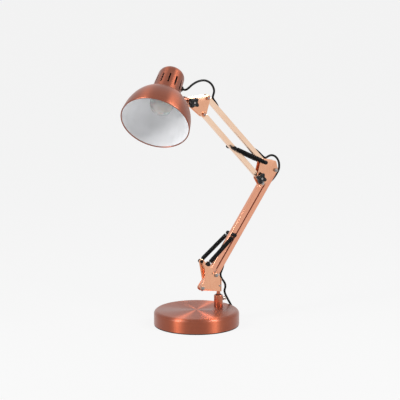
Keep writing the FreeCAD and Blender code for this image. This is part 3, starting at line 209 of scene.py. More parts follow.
def smooth_line(points):
    """A cord's line in millimetres: a smooth NURBS curve with the route's points as its own."""
    curve = bpy.data.curves.new("route", "CURVE")
    curve.dimensions = "3D"
    spline = curve.splines.new("NURBS")
    spline.points.add(len(points) - 1)
    for spot, place in zip(spline.points, points):
        spot.co = (place[0] / 1000, place[1] / 1000, place[2] / 1000, 1)
    spline.order_u = 3
    spline.use_endpoint_u = True
    spline.resolution_u = 8
    route = bpy.data.objects.new("route", curve)
    bpy.context.scene.collection.objects.link(route)
    bpy.context.view_layer.update()
    mesh = bpy.data.meshes.new_from_object(route)
    line = np.empty(len(mesh.vertices) * 3)
    mesh.vertices.foreach_get("co", line)
    bpy.data.objects.remove(route)
    bpy.data.curves.remove(curve)
    bpy.data.meshes.remove(mesh)
    return line.reshape(-1, 3) * 1000


def tube(line, radius, sides=16):
    """A round tube on a line: each ring stands square to the line and keeps the last ring's turn.

    A ring of one point closes each end.
    """
    way = np.gradient(line, axis=0)
    way /= np.linalg.norm(way, axis=1)[:, None]
    side, sides_on = np.cross(way[0], (0.3, 0.2, 0.9)), []
    for along in way:
        side = unit(side - along * (side @ along))
        sides_on.append(side)
    first = np.array(sides_on)
    second = np.cross(way, first)
    angle = np.arange(sides) * 2 * math.pi / sides
    reach = np.broadcast_to(radius, len(line))[:, None, None]
    rings = line[:, None] + reach * (np.cos(angle)[None, :, None] * first[:, None]
                                     + np.sin(angle)[None, :, None] * second[:, None])
    ends = [np.repeat(line[n][None, None], sides, 1) for n in (0, -1)]
    return grid(np.concatenate([ends[0], rings, ends[1]]))


def piece(name, parts, material, body=None, stands_for=(), sharp=32, outwards=True):
    """One mesh of several grids in millimetres, welded and smooth but at its sharp edges."""
    places, faces, count = [], [], 0
    for points, quads in parts:
        places.append(points)
        faces.append(quads + count)
        count += len(points)
    mesh = bpy.data.meshes.new(name)
    mesh.from_pydata((np.concatenate(places) / 1000).tolist(), [], np.concatenate(faces).tolist())
    shape = bmesh.new()
    shape.from_mesh(mesh)
    bmesh.ops.remove_doubles(shape, verts=shape.verts, dist=1e-6)
    if outwards:
        bmesh.ops.recalc_face_normals(shape, faces=shape.faces)
    shape.to_mesh(mesh)
    shape.free()
    mesh.shade_smooth()
    mesh.set_sharp_from_angle(angle=math.radians(sharp))
    mesh.materials.append(material)
    thing = bpy.data.objects.new(name, mesh)
    bpy.context.scene.collection.objects.link(thing)
    if body:
        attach(thing, body)
    if stands_for:
        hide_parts(*stands_for)
    return thing


PVC_GRAIN_MM = 0.6

pvc_sheath = bpy.data.materials.new("black PVC sheath")
tree = empty_tree(pvc_sheath)
place = add(tree, "TexCoord")
# a sheath's faint matt bloom, drawn as coarse as it needs to show
bloom = add(tree, "TexNoise", {"Scale": 1000 / (PVC_GRAIN_MM * 12), "Detail": 4},
            {"Vector": place.outputs["Object"]})
tone = two_tones(tree, bloom.outputs["Fac"], "#070707", "#101010")
rub = add(tree, "MapRange", {"To Min": 0.34, "To Max": 0.5}, {"Value": bloom.outputs["Fac"]})
grain = add(tree, "TexNoise", {"Scale": 1000 / PVC_GRAIN_MM, "Detail": 2},
            {"Vector": place.outputs["Object"]})
rough = add(tree, "Bump", {"Strength": 0.12, "Distance": 0.0001},
            {"Height": grain.outputs["Fac"]})
skin = add(tree, "BsdfPrincipled", {"IOR": 1.5, "Specular IOR Level": 0.15},
           {"Base Color": tone.outputs["Color"], "Roughness": rub.outputs["Result"],
            "Normal": rough.outputs["Normal"]})
add(tree, "OutputMaterial", links={"Surface": skin.outputs[0]})

LOWER_TURN, UPPER_TURN = 55.92, 132.43
LOWER_LENGTH, UPPER_LENGTH = 271.0, 209.0
LOWER_WAY, LOWER_OPEN = heading(LOWER_TURN), heading(LOWER_TURN - 90)
UPPER_WAY, UPPER_OPEN = heading(UPPER_TURN), heading(UPPER_TURN - 90)

LOWER_INNER = np.array([10.8, 0.0, 82.8])
LOWER_OUTER = np.array([45.6, 0.0, 109.0])
LOWER_INNER_TOP = LOWER_INNER + LOWER_WAY * LOWER_LENGTH
LOWER_OUTER_TOP = LOWER_OUTER + LOWER_WAY * LOWER_LENGTH
ELBOW_INNER = LOWER_INNER_TOP + (-7.3, 0, 12.3)
ELBOW_OUTER = LOWER_INNER_TOP + (2.7, 0, 47.8)
ELBOW_CORNER = LOWER_INNER_TOP + (31.6, 0, 43.0)
UPPER_INNER_TOP = ELBOW_INNER + UPPER_WAY * UPPER_LENGTH
UPPER_OUTER_TOP = ELBOW_OUTER + UPPER_WAY * UPPER_LENGTH
HEAD_PIVOT = UPPER_INNER_TOP + (-29.1, 0, 29.1)


def in_arm(foot, way, opening, places):
    """Points of the lead in a channel: distance along the bar and height over its middle."""
    return [foot + way * s + opening * q for s, q in places]


def on_floor(side, back, height):
    """A point behind the base: sideways, backwards and up."""
    turn = math.radians(28.4)
    return np.array([side * math.cos(turn) + back * math.sin(turn),
                     back * math.cos(turn) - side * math.sin(turn), height])


def halfway(a, b):
    return (np.array(a, float) + np.array(b, float)) / 2


def lead(name, route, body, stands_for=(), bends=None):
    """A stretch of the lead. Bends names the two bodies that it runs between."""
    line = smooth_line(route)
    stretch = piece(name, [tube(line, FLEX / 2)], pvc_sheath,
                    None if bends else body, stands_for)
    if bends:
        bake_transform(stretch)


upper = in_arm(UPPER_OUTER_TOP, -UPPER_WAY, UPPER_OPEN,
               [(15.5, 9.3), (22, 9.0), (30, 8.6), (47, 1.9), (163, 1.9), (181, 8.2), (192, 8.8)])
lower = in_arm(LOWER_OUTER_TOP, -LOWER_WAY, LOWER_OPEN,
               [(-1, 11.2), (9, 10.75), (19, 10.2), (38, 1.9), (230, 1.9), (248, 9.8),
                (255, 10.7)])

head_loop = [(-33.98, -2.21, 531.53), (-29.9, -4.6, 529.9), (-24.3, -8.2, 534.5),
             (-15.2, -9.8, 542.6), (-0.9, -9.8, 548.8), (15.1, -8.6, 549.8), (29.0, -6.8, 544.1),
             (39.0, -4.6, 533.7), (43.3, -2.6, 521.6), (39.7, -0.6, 510.0)]
to_lug, to_head = halfway(head_loop[3], head_loop[4]), halfway(head_loop[5], head_loop[6])
lead("lead_from_shade", head_loop[:4] + [to_lug], None, bends=("shade", "lug"))
lead("lead_over_lug", [to_lug] + head_loop[4:6] + [to_head], None, bends=("lug", "head"))
lead("lead_into_upper_arm", [to_head] + head_loop[6:] + upper[:2], None, ["cord_head_loop"],
     bends=("head", "upper_outer_bar"))
lead("lead_in_upper_arm", upper[1:], "upper_outer_bar", ["cord_in_upper_arm"])

elbow_loop = [(169.3, 0, 364.6), (174.8, 0, 361.4), (182.2, 0, 365.3), (190.5, 0, 367.5),
              (200.4, 0, 363.9), (208.0, 0, 354.8), (210.9, 0, 344.5), (210.2, 0, 334.1)]
to_elbow = halfway(elbow_loop[3], elbow_loop[4])
lead("lead_round_elbow", [upper[-1]] + elbow_loop[:4] + [to_elbow], None, ["cord_elbow_loop"],
     bends=("upper_outer_bar", "elbow"))
lead("lead_into_lower_arm", [to_elbow] + elbow_loop[4:] + lower[:2], None,
     bends=("elbow", "lower_outer_bar"))
near_bracket = halfway(lower[4], lower[5])
lead("lead_in_lower_arm", lower[1:5] + [near_bracket], "lower_outer_bar", ["cord_in_lower_arm"])

at_bracket = [(59.8, 0.2, 107.1), (64.7, 0.7, 96.2)]
drop = [(68.8, 1.0, 91.8), (73.8, 2.0, 84.2), (75.3, 3.2, 75.7), (73.1, 4.8, 68.5),
        (76.4, 7.0, 59.5), (85.1, 12.0, 47.0), (99.5, 21.0, 28.3)]
leaves_bracket = halfway(at_bracket[-1], drop[0])
lead("lead_out_of_lower_arm", [near_bracket] + lower[5:] + at_bracket + [leaves_bracket], None,
     ["cord_at_bracket"], bends=("lower_outer_bar", "bracket"))

SWITCH_SIDE, SWITCH_BACK, SWITCH_LENGTH = 35.0, 107.0, 56.0
PLUG_SIDE, PLUG_BACK, RELIEF_LENGTH, PLUG_HEIGHT = 20.0, 138.0, 18.0, 13.0
CORD_ENTRY_HEIGHT = 6.0
to_switch = [on_floor(82.0, 74.5, 16.5), on_floor(85.9, 82.4, 8.4), on_floor(87.2, 91.2, 3.2),
             on_floor(83.6, 99.8, 2.5), on_floor(77.0, 104.6, 3.4),
             on_floor(70.5, SWITCH_BACK, CORD_ENTRY_HEIGHT),
             on_floor(SWITCH_SIDE + SWITCH_LENGTH / 2, SWITCH_BACK, CORD_ENTRY_HEIGHT)]
lead("lead_to_switch", [leaves_bracket] + drop + to_switch, None, ["cord_to_switch"],
     bends=("bracket", "base"))

COIL_SIDE, COIL_BACK = -42.0, 123.0
COIL_OUTERMOST = 31.7
COIL_STEPS = 18
COIL_FROM, COIL_TO, COIL_TURNS = -58.0, 58.0, 8
# each turn lies a diameter inside the last along the floor, and then comes back on top of it
turn = np.arange(COIL_FROM, COIL_TO - 360 * COIL_TURNS - 1e-6, -360 / COIL_STEPS)
wound = (COIL_FROM - turn) / 360
halfway_in = wound[-1] / 2
inwards = np.minimum(np.minimum(wound, wound[-1] - wound), halfway_in - 0.5)
lift = np.clip(wound - halfway_in + 0.5, 0, 1)
coil = [on_floor(COIL_SIDE + reach * math.cos(spot), COIL_BACK + reach * math.sin(spot), height)
        for spot, reach, height in zip(np.radians(turn), COIL_OUTERMOST - inwards * FLEX,
                                       FLEX / 2 + lift * FLEX)]
from_switch = [on_floor(SWITCH_SIDE - SWITCH_LENGTH / 2, SWITCH_BACK, CORD_ENTRY_HEIGHT),
               on_floor(-1.0, SWITCH_BACK, CORD_ENTRY_HEIGHT), on_floor(-9.0, 105.2, 3.6)]
into_plug = [on_floor(-16.5, 142.8, 6.2), on_floor(-7.5, PLUG_BACK, PLUG_HEIGHT / 2),
             on_floor(PLUG_SIDE - RELIEF_LENGTH, PLUG_BACK, PLUG_HEIGHT / 2)]
lead("lead_coiled_to_plug", from_switch + coil + into_plug, "base",
     ["cord_coil", "cord_coil_ends"])


# ---------------------------------------------------------------------------
# The base: a deep-drawn steel cover, copper plated, brushed in circles and
# lacquered, over a cast weight. The circles draw each light out into a pale
# line across the top. A foam pad is glued underneath.
# ---------------------------------------------------------------------------

def rounded(corners, steps=7):
    """A profile through (radius, height, round) corners, each round one an arc to both sides."""
    spots = [np.array(corner[:2], float) for corner in corners]
    rounds = [corner[2] if len(corner) > 2 else 0.0 for corner in corners]
    line = [spots[0]]
    for before, spot, after, bend in zip(spots, spots[1:], spots[2:], rounds[1:]):
        if not bend:
            line.append(spot)
            continue
        back, ahead = unit(before - spot), unit(after - spot)
        half = math.acos(max(-1.0, min(1.0, back @ ahead))) / 2
        middle = spot + unit(back + ahead) * (bend / math.sin(half))
        first, last = spot + back * bend / math.tan(half), spot + ahead * bend / math.tan(half)
        share = np.linspace(0, 1, steps)[:, None]
        spread = math.pi - 2 * half
        arc = (np.sin((1 - share) * spread) * (first - middle)
               + np.sin(share * spread) * (last - middle)) / math.sin(spread)
        line.extend(middle + arc)
    line.append(spots[-1])
    return np.array(line)


def turned(profile, foot, way, steps=48, outline=None):
    """A turned surface: each (radius, height) of a profile carried round a line from its foot.

    An outline gives the reach at an angle and a radius, and makes it other than round.
    """
    way = unit(np.array(way, float))
    first = unit(np.cross((0, 1, 0) if abs(way[1]) < 0.9 else (1, 0, 0), way))
    second = np.cross(way, first)
    angle = np.arange(steps) * 2 * math.pi / steps
    radius, height = np.array(profile, float).T
    reach = np.repeat(radius[:, None], steps, 1)
    if outline:
        reach = outline(angle[None, :], reach)
    around = np.cos(angle)[:, None] * first + np.sin(angle)[:, None] * second
    return grid(np.array(foot, float) + height[:, None, None] * way
                + reach[..., None] * around[None])


# how many times as long as it is wide a straight mark is drawn
MARK_LENGTH = 40


def brushed_copper(name, dark, light, line_mm, gloss, run, centre=None, stretch=0.65):
    """Plated copper, brushed and lacquered. The marks circle the axis run, or lie along it.

    With a centre they are circles: the pattern depends on the distance from the axis and
    the height along it. Without one they are lines, drawn out along the direction.
    """
    material = bpy.data.materials.new(name)
    tree = empty_tree(material)
    place = add(tree, "TexCoord")
    run = unit(np.array(run, float))
    side = unit(np.cross((0, 1, 0) if abs(run[1]) < 0.9 else (1, 0, 0), run))
    turn = Matrix(np.stack([side, np.cross(run, side), run], 1).tolist()).to_euler()
    local = add(tree, "Mapping", {"Location": [c / 1000 for c in (centre if centre is not None
                                                                  else (0, 0, 0))],
                                  "Rotation": turn}, {"Vector": place.outputs["Object"]},
                vector_type="TEXTURE")
    apart = add(tree, "SeparateXYZ", links={0: local.outputs[0]})
    fine = 1000 / line_mm
    if centre is None:
        marks = add(tree, "VectorMath", {1: (fine, fine, fine / MARK_LENGTH)},
                    {0: local.outputs[0]}, operation="MULTIPLY")
        along = add(tree, "CombineXYZ", dict(zip("XYZ", run)))
    else:
        flat = add(tree, "CombineXYZ", links={"X": apart.outputs["X"], "Y": apart.outputs["Y"]})
        away = add(tree, "VectorMath", links={0: flat.outputs[0]}, operation="LENGTH")
        rings = add(tree, "CombineXYZ", links={"X": away.outputs["Value"], "Z": apart.outputs["Z"]})
        marks = add(tree, "VectorMath", {1: (fine,) * 3}, {0: rings.outputs[0]},
                    operation="MULTIPLY")
        outwards = add(tree, "VectorMath", {1: [c / 1000 for c in centre]},
                       {0: place.outputs["Object"]}, operation="SUBTRACT")
        along = add(tree, "VectorMath", {0: run.tolist()}, {1: outwards.outputs[0]},
                    operation="CROSS_PRODUCT")
    lines = add(tree, "TexNoise", {"Scale": 1.0, "Detail": 5, "Roughness": 0.7},
                {"Vector": marks.outputs[0]})
    cloud = add(tree, "TexNoise", {"Scale": 18.0, "Detail": 2}, {"Vector": place.outputs["Object"]})
    both = add(tree, "Math", {1: 0.8}, {0: lines.outputs["Fac"]}, operation="MULTIPLY")
    both = add(tree, "Math", {1: 0.2}, {0: cloud.outputs["Fac"], 2: both.outputs[0]},
               operation="MULTIPLY_ADD")
    tone = two_tones(tree, both.outputs[0], dark, light, 0.35, 0.65)
    rub = add(tree, "MapRange", {"From Min": 0.3, "From Max": 0.7, "To Min": gloss - 0.05,
                                 "To Max": gloss + 0.06}, {"Value": both.outputs[0]})
    scored = add(tree, "Bump", {"Strength": 0.05, "Distance": 0.00001},
                 {"Height": lines.outputs["Fac"]})
    tangent = add(tree, "VectorTransform", links={0: along.outputs[0]}, vector_type="VECTOR",
                  convert_from="OBJECT", convert_to="WORLD")
    tangent = add(tree, "VectorMath", links={0: tangent.outputs[0]}, operation="NORMALIZE")
    # the marks lie along the tangent, so a light is drawn out a quarter turn from it
    metal = add(tree, "BsdfPrincipled", {"Metallic": 1.0, "Anisotropic": stretch,
                                         "Anisotropic Rotation": 0.25, "Coat Weight": 0.5,
                                         "Coat Roughness": 0.3},
                {"Base Color": tone.outputs["Color"], "Roughness": rub.outputs["Result"],
                 "Normal": scored.outputs["Normal"], "Tangent": tangent.outputs[0]})
    add(tree, "OutputMaterial", links={"Surface": metal.outputs[0]})
    return material


BASE_RADIUS, BASE_HEIGHT, PAD_HEIGHT = 95.0, 34.0, 2.0
BASE_ROUND, BASE_WALL = 8.5, 1.2

# painted shade: the same copper plating as the arms, given darker tones here to stand in for the
# dim surroundings the polished base would mirror
base_copper = brushed_copper("brushed copper plate on the base", "#904129", "#b26446", 0.45, 0.48,
                             (0, 0, 1), centre=(0, 0, 0), stretch=0.95)
inner = BASE_RADIUS - BASE_WALL
cover = rounded([(0, BASE_HEIGHT - BASE_WALL), (inner, BASE_HEIGHT - BASE_WALL,
                                                BASE_ROUND - BASE_WALL),
                 (inner, PAD_HEIGHT), (BASE_RADIUS - 0.3, PAD_HEIGHT), (BASE_RADIUS, 2.3),
                 (BASE_RADIUS, BASE_HEIGHT, BASE_ROUND), (60, BASE_HEIGHT), (30, BASE_HEIGHT),
                 (10, BASE_HEIGHT), (0, BASE_HEIGHT)], 14)
piece("base_cover_drawn", [turned(cover, (0, 0, 0), (0, 0, 1), 192)], base_copper,
      "base", ["base_cover"])


def dress(material, *nodes):
    """Gives the CAD nodes this material."""
    for name in nodes:
        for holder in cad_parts[name].material_slots:
            holder.material = material


def plain_finish(name, dark, light, spot_mm, gloss, grain_mm, depth, sockets=()):
    """A finish without a direction: mottled between two tones, with a fine grain in relief."""
    material = bpy.data.materials.new(name)
    tree = empty_tree(material)
    place = add(tree, "TexCoord")
    mottle = add(tree, "TexNoise", {"Scale": 1000 / spot_mm, "Detail": 4},
                 {"Vector": place.outputs["Object"]})
    tone = two_tones(tree, mottle.outputs["Fac"], dark, light, 0.3, 0.7)
    rub = add(tree, "MapRange", {"From Min": 0.3, "From Max": 0.7, "To Min": gloss - 0.06,
                                 "To Max": gloss + 0.06}, {"Value": mottle.outputs["Fac"]})
    grain = add(tree, "TexNoise", {"Scale": 1000 / grain_mm, "Detail": 3},
                {"Vector": place.outputs["Object"]})
    relief = add(tree, "Bump", {"Strength": 0.35, "Distance": depth / 1000},
                 {"Height": grain.outputs["Fac"]})
    skin = add(tree, "BsdfPrincipled", sockets,
               {"Base Color": tone.outputs["Color"], "Roughness": rub.outputs["Result"],
                "Normal": relief.outputs["Normal"]})
    add(tree, "OutputMaterial", links={"Surface": skin.outputs[0]})
    return material


# black foam, moulding and rubber mirror the lights less than clear plastic does
MATT_SKIN = {"Specular IOR Level": 0.15}
foam = plain_finish("black EVA foam", "#0b0b0b", "#151515", 6, 0.8, 0.5, 0.15, MATT_SKIN)
cast_iron = plain_finish("rough cast iron", "#2a2a2c", "#3b3b3e", 5, 0.6, 0.9, 0.3,
                         {"Metallic": 1.0})
zinc = plain_finish("dull zinc plate", "#8b8683", "#a9a5a2", 4, 0.34, 0.4, 0.02,
                    {"Metallic": 1.0})
dress(foam, "base_pad")
dress(cast_iron, "base_weight")
dress(zinc, "base_plate", "post_nut")


# ---------------------------------------------------------------------------
# The post: a polished, copper plated steel sleeve screwed down through the base,
# with a black bush in its mouth. A knurled screw in its side locks the stem that
# turns in it.
# ---------------------------------------------------------------------------

POST_X, POST_RADIUS, POST_TOP = 55.4, 10.0, 62.0
BORE, STEM_RADIUS, STEM_TOP = 5.46, 4.0, 97.0

# painted shade: the same copper plating as the arms, given darker tones here to stand in for the
# dim surroundings the polished post would mirror
post_copper = brushed_copper("polished copper plate on the post", "#9a4f35", "#b97052", 0.5, 0.2,
                             (0, 0, 1), centre=(POST_X, 0, 0), stretch=0.4)
post = rounded([(0, BASE_HEIGHT), (POST_RADIUS, BASE_HEIGHT), (POST_RADIUS, POST_TOP, 2.2),
                (BORE, POST_TOP), (BORE, POST_TOP - 6), (0, POST_TOP - 6)], 9)
piece("post", [turned(post, (POST_X, 0, 0), (0, 0, 1), 96)], post_copper, "base",
      ["base_post"])

black_moulding = plain_finish("black moulded nylon", "#0a0a0b", "#131314", 7, 0.42, 0.5, 0.05,
                              MATT_SKIN)
bush = rounded([(0, POST_TOP - 3), (BORE, POST_TOP - 3), (BORE, POST_TOP),
                (6.66, POST_TOP, 0.2), (6.66, POST_TOP + 1, 0.4), (0, POST_TOP + 1)])
piece("post_bush_flanged", [turned(bush, (POST_X, 0, 0), (0, 0, 1), 64)], black_moulding,
      "base", ["post_bush"])

stem = rounded([(0, 63.1), (5.2, 63.1, 0.3), (5.2, 65.1, 0.3), (STEM_RADIUS, 65.1),
                (STEM_RADIUS, STEM_TOP, 0.5), (0, STEM_TOP)])
piece("stem", [turned(stem, (POST_X, 0, 0), (0, 0, 1), 48)], post_copper,
      "bracket", ["swivel_stem"])

knurled = plain_finish("dull zinc plate on the screw", "#8f8580", "#a89d96", 3, 0.34, 0.5, 0.03,
                       {"Metallic": 1.0})
KNURLS = 16
screw = rounded([(0, 10.1), (3.0, 10.1), (3.0, 11), (4.2, 11, 0.5), (4.2, 18, 0.7), (2.6, 18.0),
                 (0, 18.0)])
piece("thumb_screw_knurled",
      [turned(screw, (POST_X, 0, 52), (1, 0, 0), 128,
              lambda angle, reach: reach - 0.35 * (reach > 3.5) * (np.cos(KNURLS * angle) > 0.2))],
      knurled, "thumb_screw", ["thumb_screw"])


# ---------------------------------------------------------------------------
# The bracket: one blank of copper plated sheet folded to a U behind the stem. Its
# ears lean outwards to carry the rod of the lower springs. A rivet joins it to
# the stem, and two bolts carry the lower arm.
# ---------------------------------------------------------------------------

PLATE_IN, PLATE_OUT = 6.2, 7.4
SHEET = 1.2
SHEET_EDGE = 0.25
BRACKET_FOOT, BRACKET_SHOULDER = 70.5, 99.5
FOLD = 2.6


def plate(discs, y0, y1, steps=240):
    """A flat plate between y0 and y1: the hull of (place, radius) discs.

    In each direction its edge is the point of the disc that reaches furthest. The
    broken edge is that hull again, with each radius less by the break.
    """
    angle = np.arange(steps) * 2 * math.pi / steps
    out = np.stack([np.cos(angle), 0 * angle, np.sin(angle)], 1)
    places = np.array([disc[0] for disc in discs], float)
    radii = np.array([disc[1] for disc in discs], float)
    far = np.argmax(out @ places.T + radii, axis=1)
    way = math.copysign(1, y1 - y0)
    edge = [(None, y0), (SHEET_EDGE, y0), (SHEET_EDGE * 0.3, y0 + way * SHEET_EDGE * 0.3),
            (0, y0 + way * SHEET_EDGE), (0, y1 - way * SHEET_EDGE),
            (SHEET_EDGE * 0.3, y1 - way * SHEET_EDGE * 0.3), (SHEET_EDGE, y1), (None, y1)]
    rows = []
    for inset, y in edge:
        row = places[far] + (radii[far] - (inset or 0))[:, None] * out
        if inset is None:
            row = np.repeat(row.mean(0)[None], steps, 0)
        rows.append(row * (1, 0, 1) + (0, y, 0))
    return grid(np.array(rows))


def leaning(shape, hinge, along, degrees):
    """A grid turned about the line through hinge along a direction."""
    turn = np.array(Matrix.Rotation(math.radians(degrees), 3, along.tolist()))
    return (shape[0] - hinge) @ turn.T + hinge, shape[1]


EAR = np.array([19.4, 0.0, 139.0])
EAR_RADIUS, EAR_LEAN_OUT = 6.3, 6.6
bend_low, bend_high = LOWER_INNER + (7.2, 0, 16.5), LOWER_OUTER + (-7.0, 0, 4.6)
rear = POST_X + STEM_RADIUS + SHEET
along_bend = unit(bend_high - bend_low)
lean = math.degrees(math.atan2(EAR_LEAN_OUT, abs(np.cross(EAR - bend_low, along_bend)[1])))
# painted light: the same copper plating as the base and shade, given paler tones here where the
# flat sheet catches the light
sheet_copper = brushed_copper("satin copper plate on folded sheet", "#dd9a76", "#efb593", 0.5,
                              0.20, (0, 0, 1), stretch=0.5)
bracket = []
for side in (-1, 1):
    inside, outside = side * PLATE_IN, side * PLATE_OUT
    bracket.append(plate([(LOWER_INNER, 5.2), ((rear - FOLD - 0.3, 0, BRACKET_FOOT + 0.4), 0.4),
                          ((rear - FOLD - 0.3, 0, BRACKET_SHOULDER - 0.4), 0.4), (LOWER_OUTER, 6.5),
                          (bend_high, 0.8), (bend_low, 0.8)], inside, outside))
    ear = plate([(bend_low, 0.8), (bend_high, 0.8), (EAR, EAR_RADIUS)], inside, outside)
    bracket.append(leaning(ear, bend_low + (0, inside, 0), along_bend, -side * lean))
# the fold: the line of the sheet seen from above, carried up from foot to shoulder
corner = rounded([(rear - FOLD - 1.2, -PLATE_OUT), (rear, -PLATE_OUT, FOLD),
                  (rear, PLATE_OUT, FOLD), (rear - FOLD - 1.2, PLATE_OUT)], 9)
within = rounded([(rear - FOLD - 1.2, -PLATE_IN), (rear - SHEET, -PLATE_IN, FOLD - SHEET),
                  (rear - SHEET, PLATE_IN, FOLD - SHEET), (rear - FOLD - 1.2, PLATE_IN)], 9)
outline = np.concatenate([corner, within[::-1]])
levels = (BRACKET_FOOT, BRACKET_SHOULDER)
rows = [np.concatenate([outline, np.full((len(outline), 1), z)], 1) for z in levels]
folded = grid(np.array(rows))
count = len(corner)
lids = [(np.concatenate([np.c_[corner, np.full(count, z)], np.c_[within, np.full(count, z)]]),
         np.array([[n, n + 1, count + n + 1, count + n] for n in range(count - 1)]))
        for z in levels]
bracket += [folded] + lids
piece("bracket_folded", bracket, sheet_copper, "bracket", ["lower_bracket"])

RIVET_Z = 84.0
rivet_at = np.array([POST_X, 0, RIVET_Z])
rivet = []
for side in (-1, 1):
    rivet.append(turned(rounded([(0, 7.4), (2.6, 7.4), (2.6, 8.3, 0.6), (0, 8.3)]), rivet_at,
                        (0, side, 0), 32))
    rivet.append(turned([(0, 3.6), (3.4, 3.6), (3.4, PLATE_IN), (0, PLATE_IN)], rivet_at,
                        (0, side, 0), 32))
piece("stem_rivet_set", rivet, zinc, "bracket", ["stem_rivet"])


def hexagon(across_flats):
    """An outline that keeps a turned piece within a hexagon."""
    return lambda angle, reach: np.minimum(
        reach, across_flats / 2 / np.cos((angle + math.pi / 6) % (math.pi / 3) - math.pi / 6))


NUT_FLATS, NUT_HEIGHT, BOLT_RADIUS = 8.0, 3.4, 2.5
BAR_SIDE = 5.5
nut_line = [(0, 0), (4.15, 0), (4.62, 0.4), (4.62, NUT_HEIGHT - 0.4), (4.15, NUT_HEIGHT),
            (2.9, NUT_HEIGHT), (2.6, NUT_HEIGHT - 0.3)]
tip_line = [(2.6, NUT_HEIGHT - 0.3), (2.5, NUT_HEIGHT - 0.2), (2.5, NUT_HEIGHT + 0.7),
            (2.0, NUT_HEIGHT + 1.2), (0, NUT_HEIGHT + 1.2)]
head_line = rounded([(0, 0), (4.2, 0), (4.2, 2.6, 1.3), (1.6, 2.6), (1.3, 1.7), (0, 1.7)])


def bolt(centre):
    """A pan-headed bolt on the far side, its shank between the plates and its tip at the near."""
    shank = [(0, -PLATE_OUT - 0.1), (BOLT_RADIUS, -PLATE_OUT - 0.1), (BOLT_RADIUS, PLATE_OUT),
             (0, PLATE_OUT)]
    return [turned(head_line, centre + (0, PLATE_OUT, 0), (0, 1, 0), 48),
            turned([(0, 0)] + tip_line, centre + (0, -PLATE_OUT, 0), (0, -1, 0), 48),
            turned(shank, centre, (0, 1, 0), 32)]


def nut(centre):
    """A chamfered nut on the near plate."""
    return [turned(nut_line + [(0, NUT_HEIGHT - 0.3)], centre + (0, -PLATE_OUT, 0), (0, -1, 0), 48,
                   hexagon(NUT_FLATS))]


def washers(centre):
    """The thin washers between a bar and the plates beside it."""
    line = [(0, BAR_SIDE + 0.05), (5.0, BAR_SIDE + 0.05), (5.0, BAR_SIDE + 0.65),
            (0, BAR_SIDE + 0.65)]
    return [turned(line, centre, (0, side, 0), 32) for side in (-1, 1)]


piece("lower_bolts", bolt(LOWER_INNER) + bolt(LOWER_OUTER), zinc, "bracket",
      ["lower_pivot_bolts"])
piece("lower_nuts", nut(LOWER_INNER) + nut(LOWER_OUTER) + washers(LOWER_INNER)
      + washers(LOWER_OUTER), zinc, "bracket", ["lower_pivot_nuts"])


# ---------------------------------------------------------------------------
# The arms: four channels pressed from steel strip and copper plated, brushed
# along their length. Each stands with its web towards the shade and its mouth
# away from it, and the lead lies in the two outer ones.
# ---------------------------------------------------------------------------

BAR_WEB, BAR_MOUTH, BAR_OVERRUN, BAR_ROUND, BAR_BEND = -4.5, 6.5, 6.0, 4.0, 1.5


def channel(foot, way, opening, length):
    """The outside of a channel: its section carried along, each line ending in the round ends."""
    flange = np.linspace(BAR_MOUTH, BAR_MOUTH - BAR_ROUND, 9)[:-1]
    section = [(q, -BAR_SIDE) for q in flange]
    section += [tuple(p) for p in rounded([(BAR_MOUTH - BAR_ROUND, -BAR_SIDE),
                                           (BAR_WEB, -BAR_SIDE, BAR_BEND),
                                           (BAR_WEB, BAR_SIDE, BAR_BEND),
                                           (BAR_MOUTH - BAR_ROUND, BAR_SIDE)], 9)]
    section += [(q, BAR_SIDE) for q in flange[::-1]]
    q, y = np.array(section).T
    from_edge = np.minimum(np.minimum(q - BAR_WEB, BAR_MOUTH - q), BAR_ROUND)
    short = BAR_ROUND - np.sqrt(BAR_ROUND ** 2 - (BAR_ROUND - from_edge) ** 2)
    share = np.linspace(0, 1, 15)[:, None]
    s = (-BAR_OVERRUN + short) * (1 - share) + (length + BAR_OVERRUN - short) * share
    return grid(foot + s[..., None] * way + q[None, :, None] * opening
                + y[None, :, None] * np.array((0, 1, 0)), around=False)


def bar(name, foot, way, opening, length, material, node):
    """A channel with its wall inside the drawn section."""
    shape = channel(foot, way, opening, length)
    thing = piece(name, [shape], material, node, [node], outwards=False)
    wall = thing.modifiers.new("wall", "SOLIDIFY")
    wall.thickness, wall.offset = 0.001, 1.0
    wall.use_even_offset = True


# painted light: both arms carry the same copper plating as the base and shade, given paler tones
# here, and the upper arm paler still, where their flat faces catch the light
lower_copper = brushed_copper("satin copper plate on the lower arm", "#d98f70", "#ecab8c", 0.4,
                              0.20, LOWER_WAY)
upper_copper = brushed_copper("satin copper plate on the upper arm", "#efc4a4", "#fadcc2", 0.4,
                              0.20, UPPER_WAY)
for which, foot in (("inner", LOWER_INNER), ("outer", LOWER_OUTER)):
    bar("lower_bar_" + which, foot, LOWER_WAY, LOWER_OPEN, LOWER_LENGTH, lower_copper,
        "lower_" + which + "_bar")
for which, foot in (("inner", ELBOW_INNER), ("outer", ELBOW_OUTER)):
    bar("upper_bar_" + which, foot, UPPER_WAY, UPPER_OPEN, UPPER_LENGTH, upper_copper,
        "upper_" + which + "_bar")


# ---------------------------------------------------------------------------
# The springs: two pairs of close-wound steel springs, enamelled black, hooked in
# the grooves of black sleeves on blackened rods. Each is made as two halves that
# slide in one another, one on each rod, because a spring changes length.
# ---------------------------------------------------------------------------

SLEEVE_RADIUS, GROOVE_RADIUS, GROOVE, SLEEVE_END = 4.3, 3.1, 2.2, 2.6
ROD_RADIUS = 2.5
COIL_RADIUS, WIRE_RADIUS, COIL_INSET, WIRE_PITCH = 4.1, 0.8, 7.0, 1.75
HOOK_RADIUS, HOOK_REACH, HOOK_STEPS, TURN_STEPS = 4.0, 150, 36, 14
HALF_SHARE, TOP_SHRINK = 0.62, 0.97
ROD_PROUD, ROD_CHAMFER = 0.4, 0.5
STUD_CLEAR, STUD_HEAD, STUD_HEAD_RADIUS, STUD_BREAK = 1.0, 1.0, 3.8, 0.3
LOWER_ANCHOR_AT, UPPER_ANCHOR_AT = 138.0, 100.0

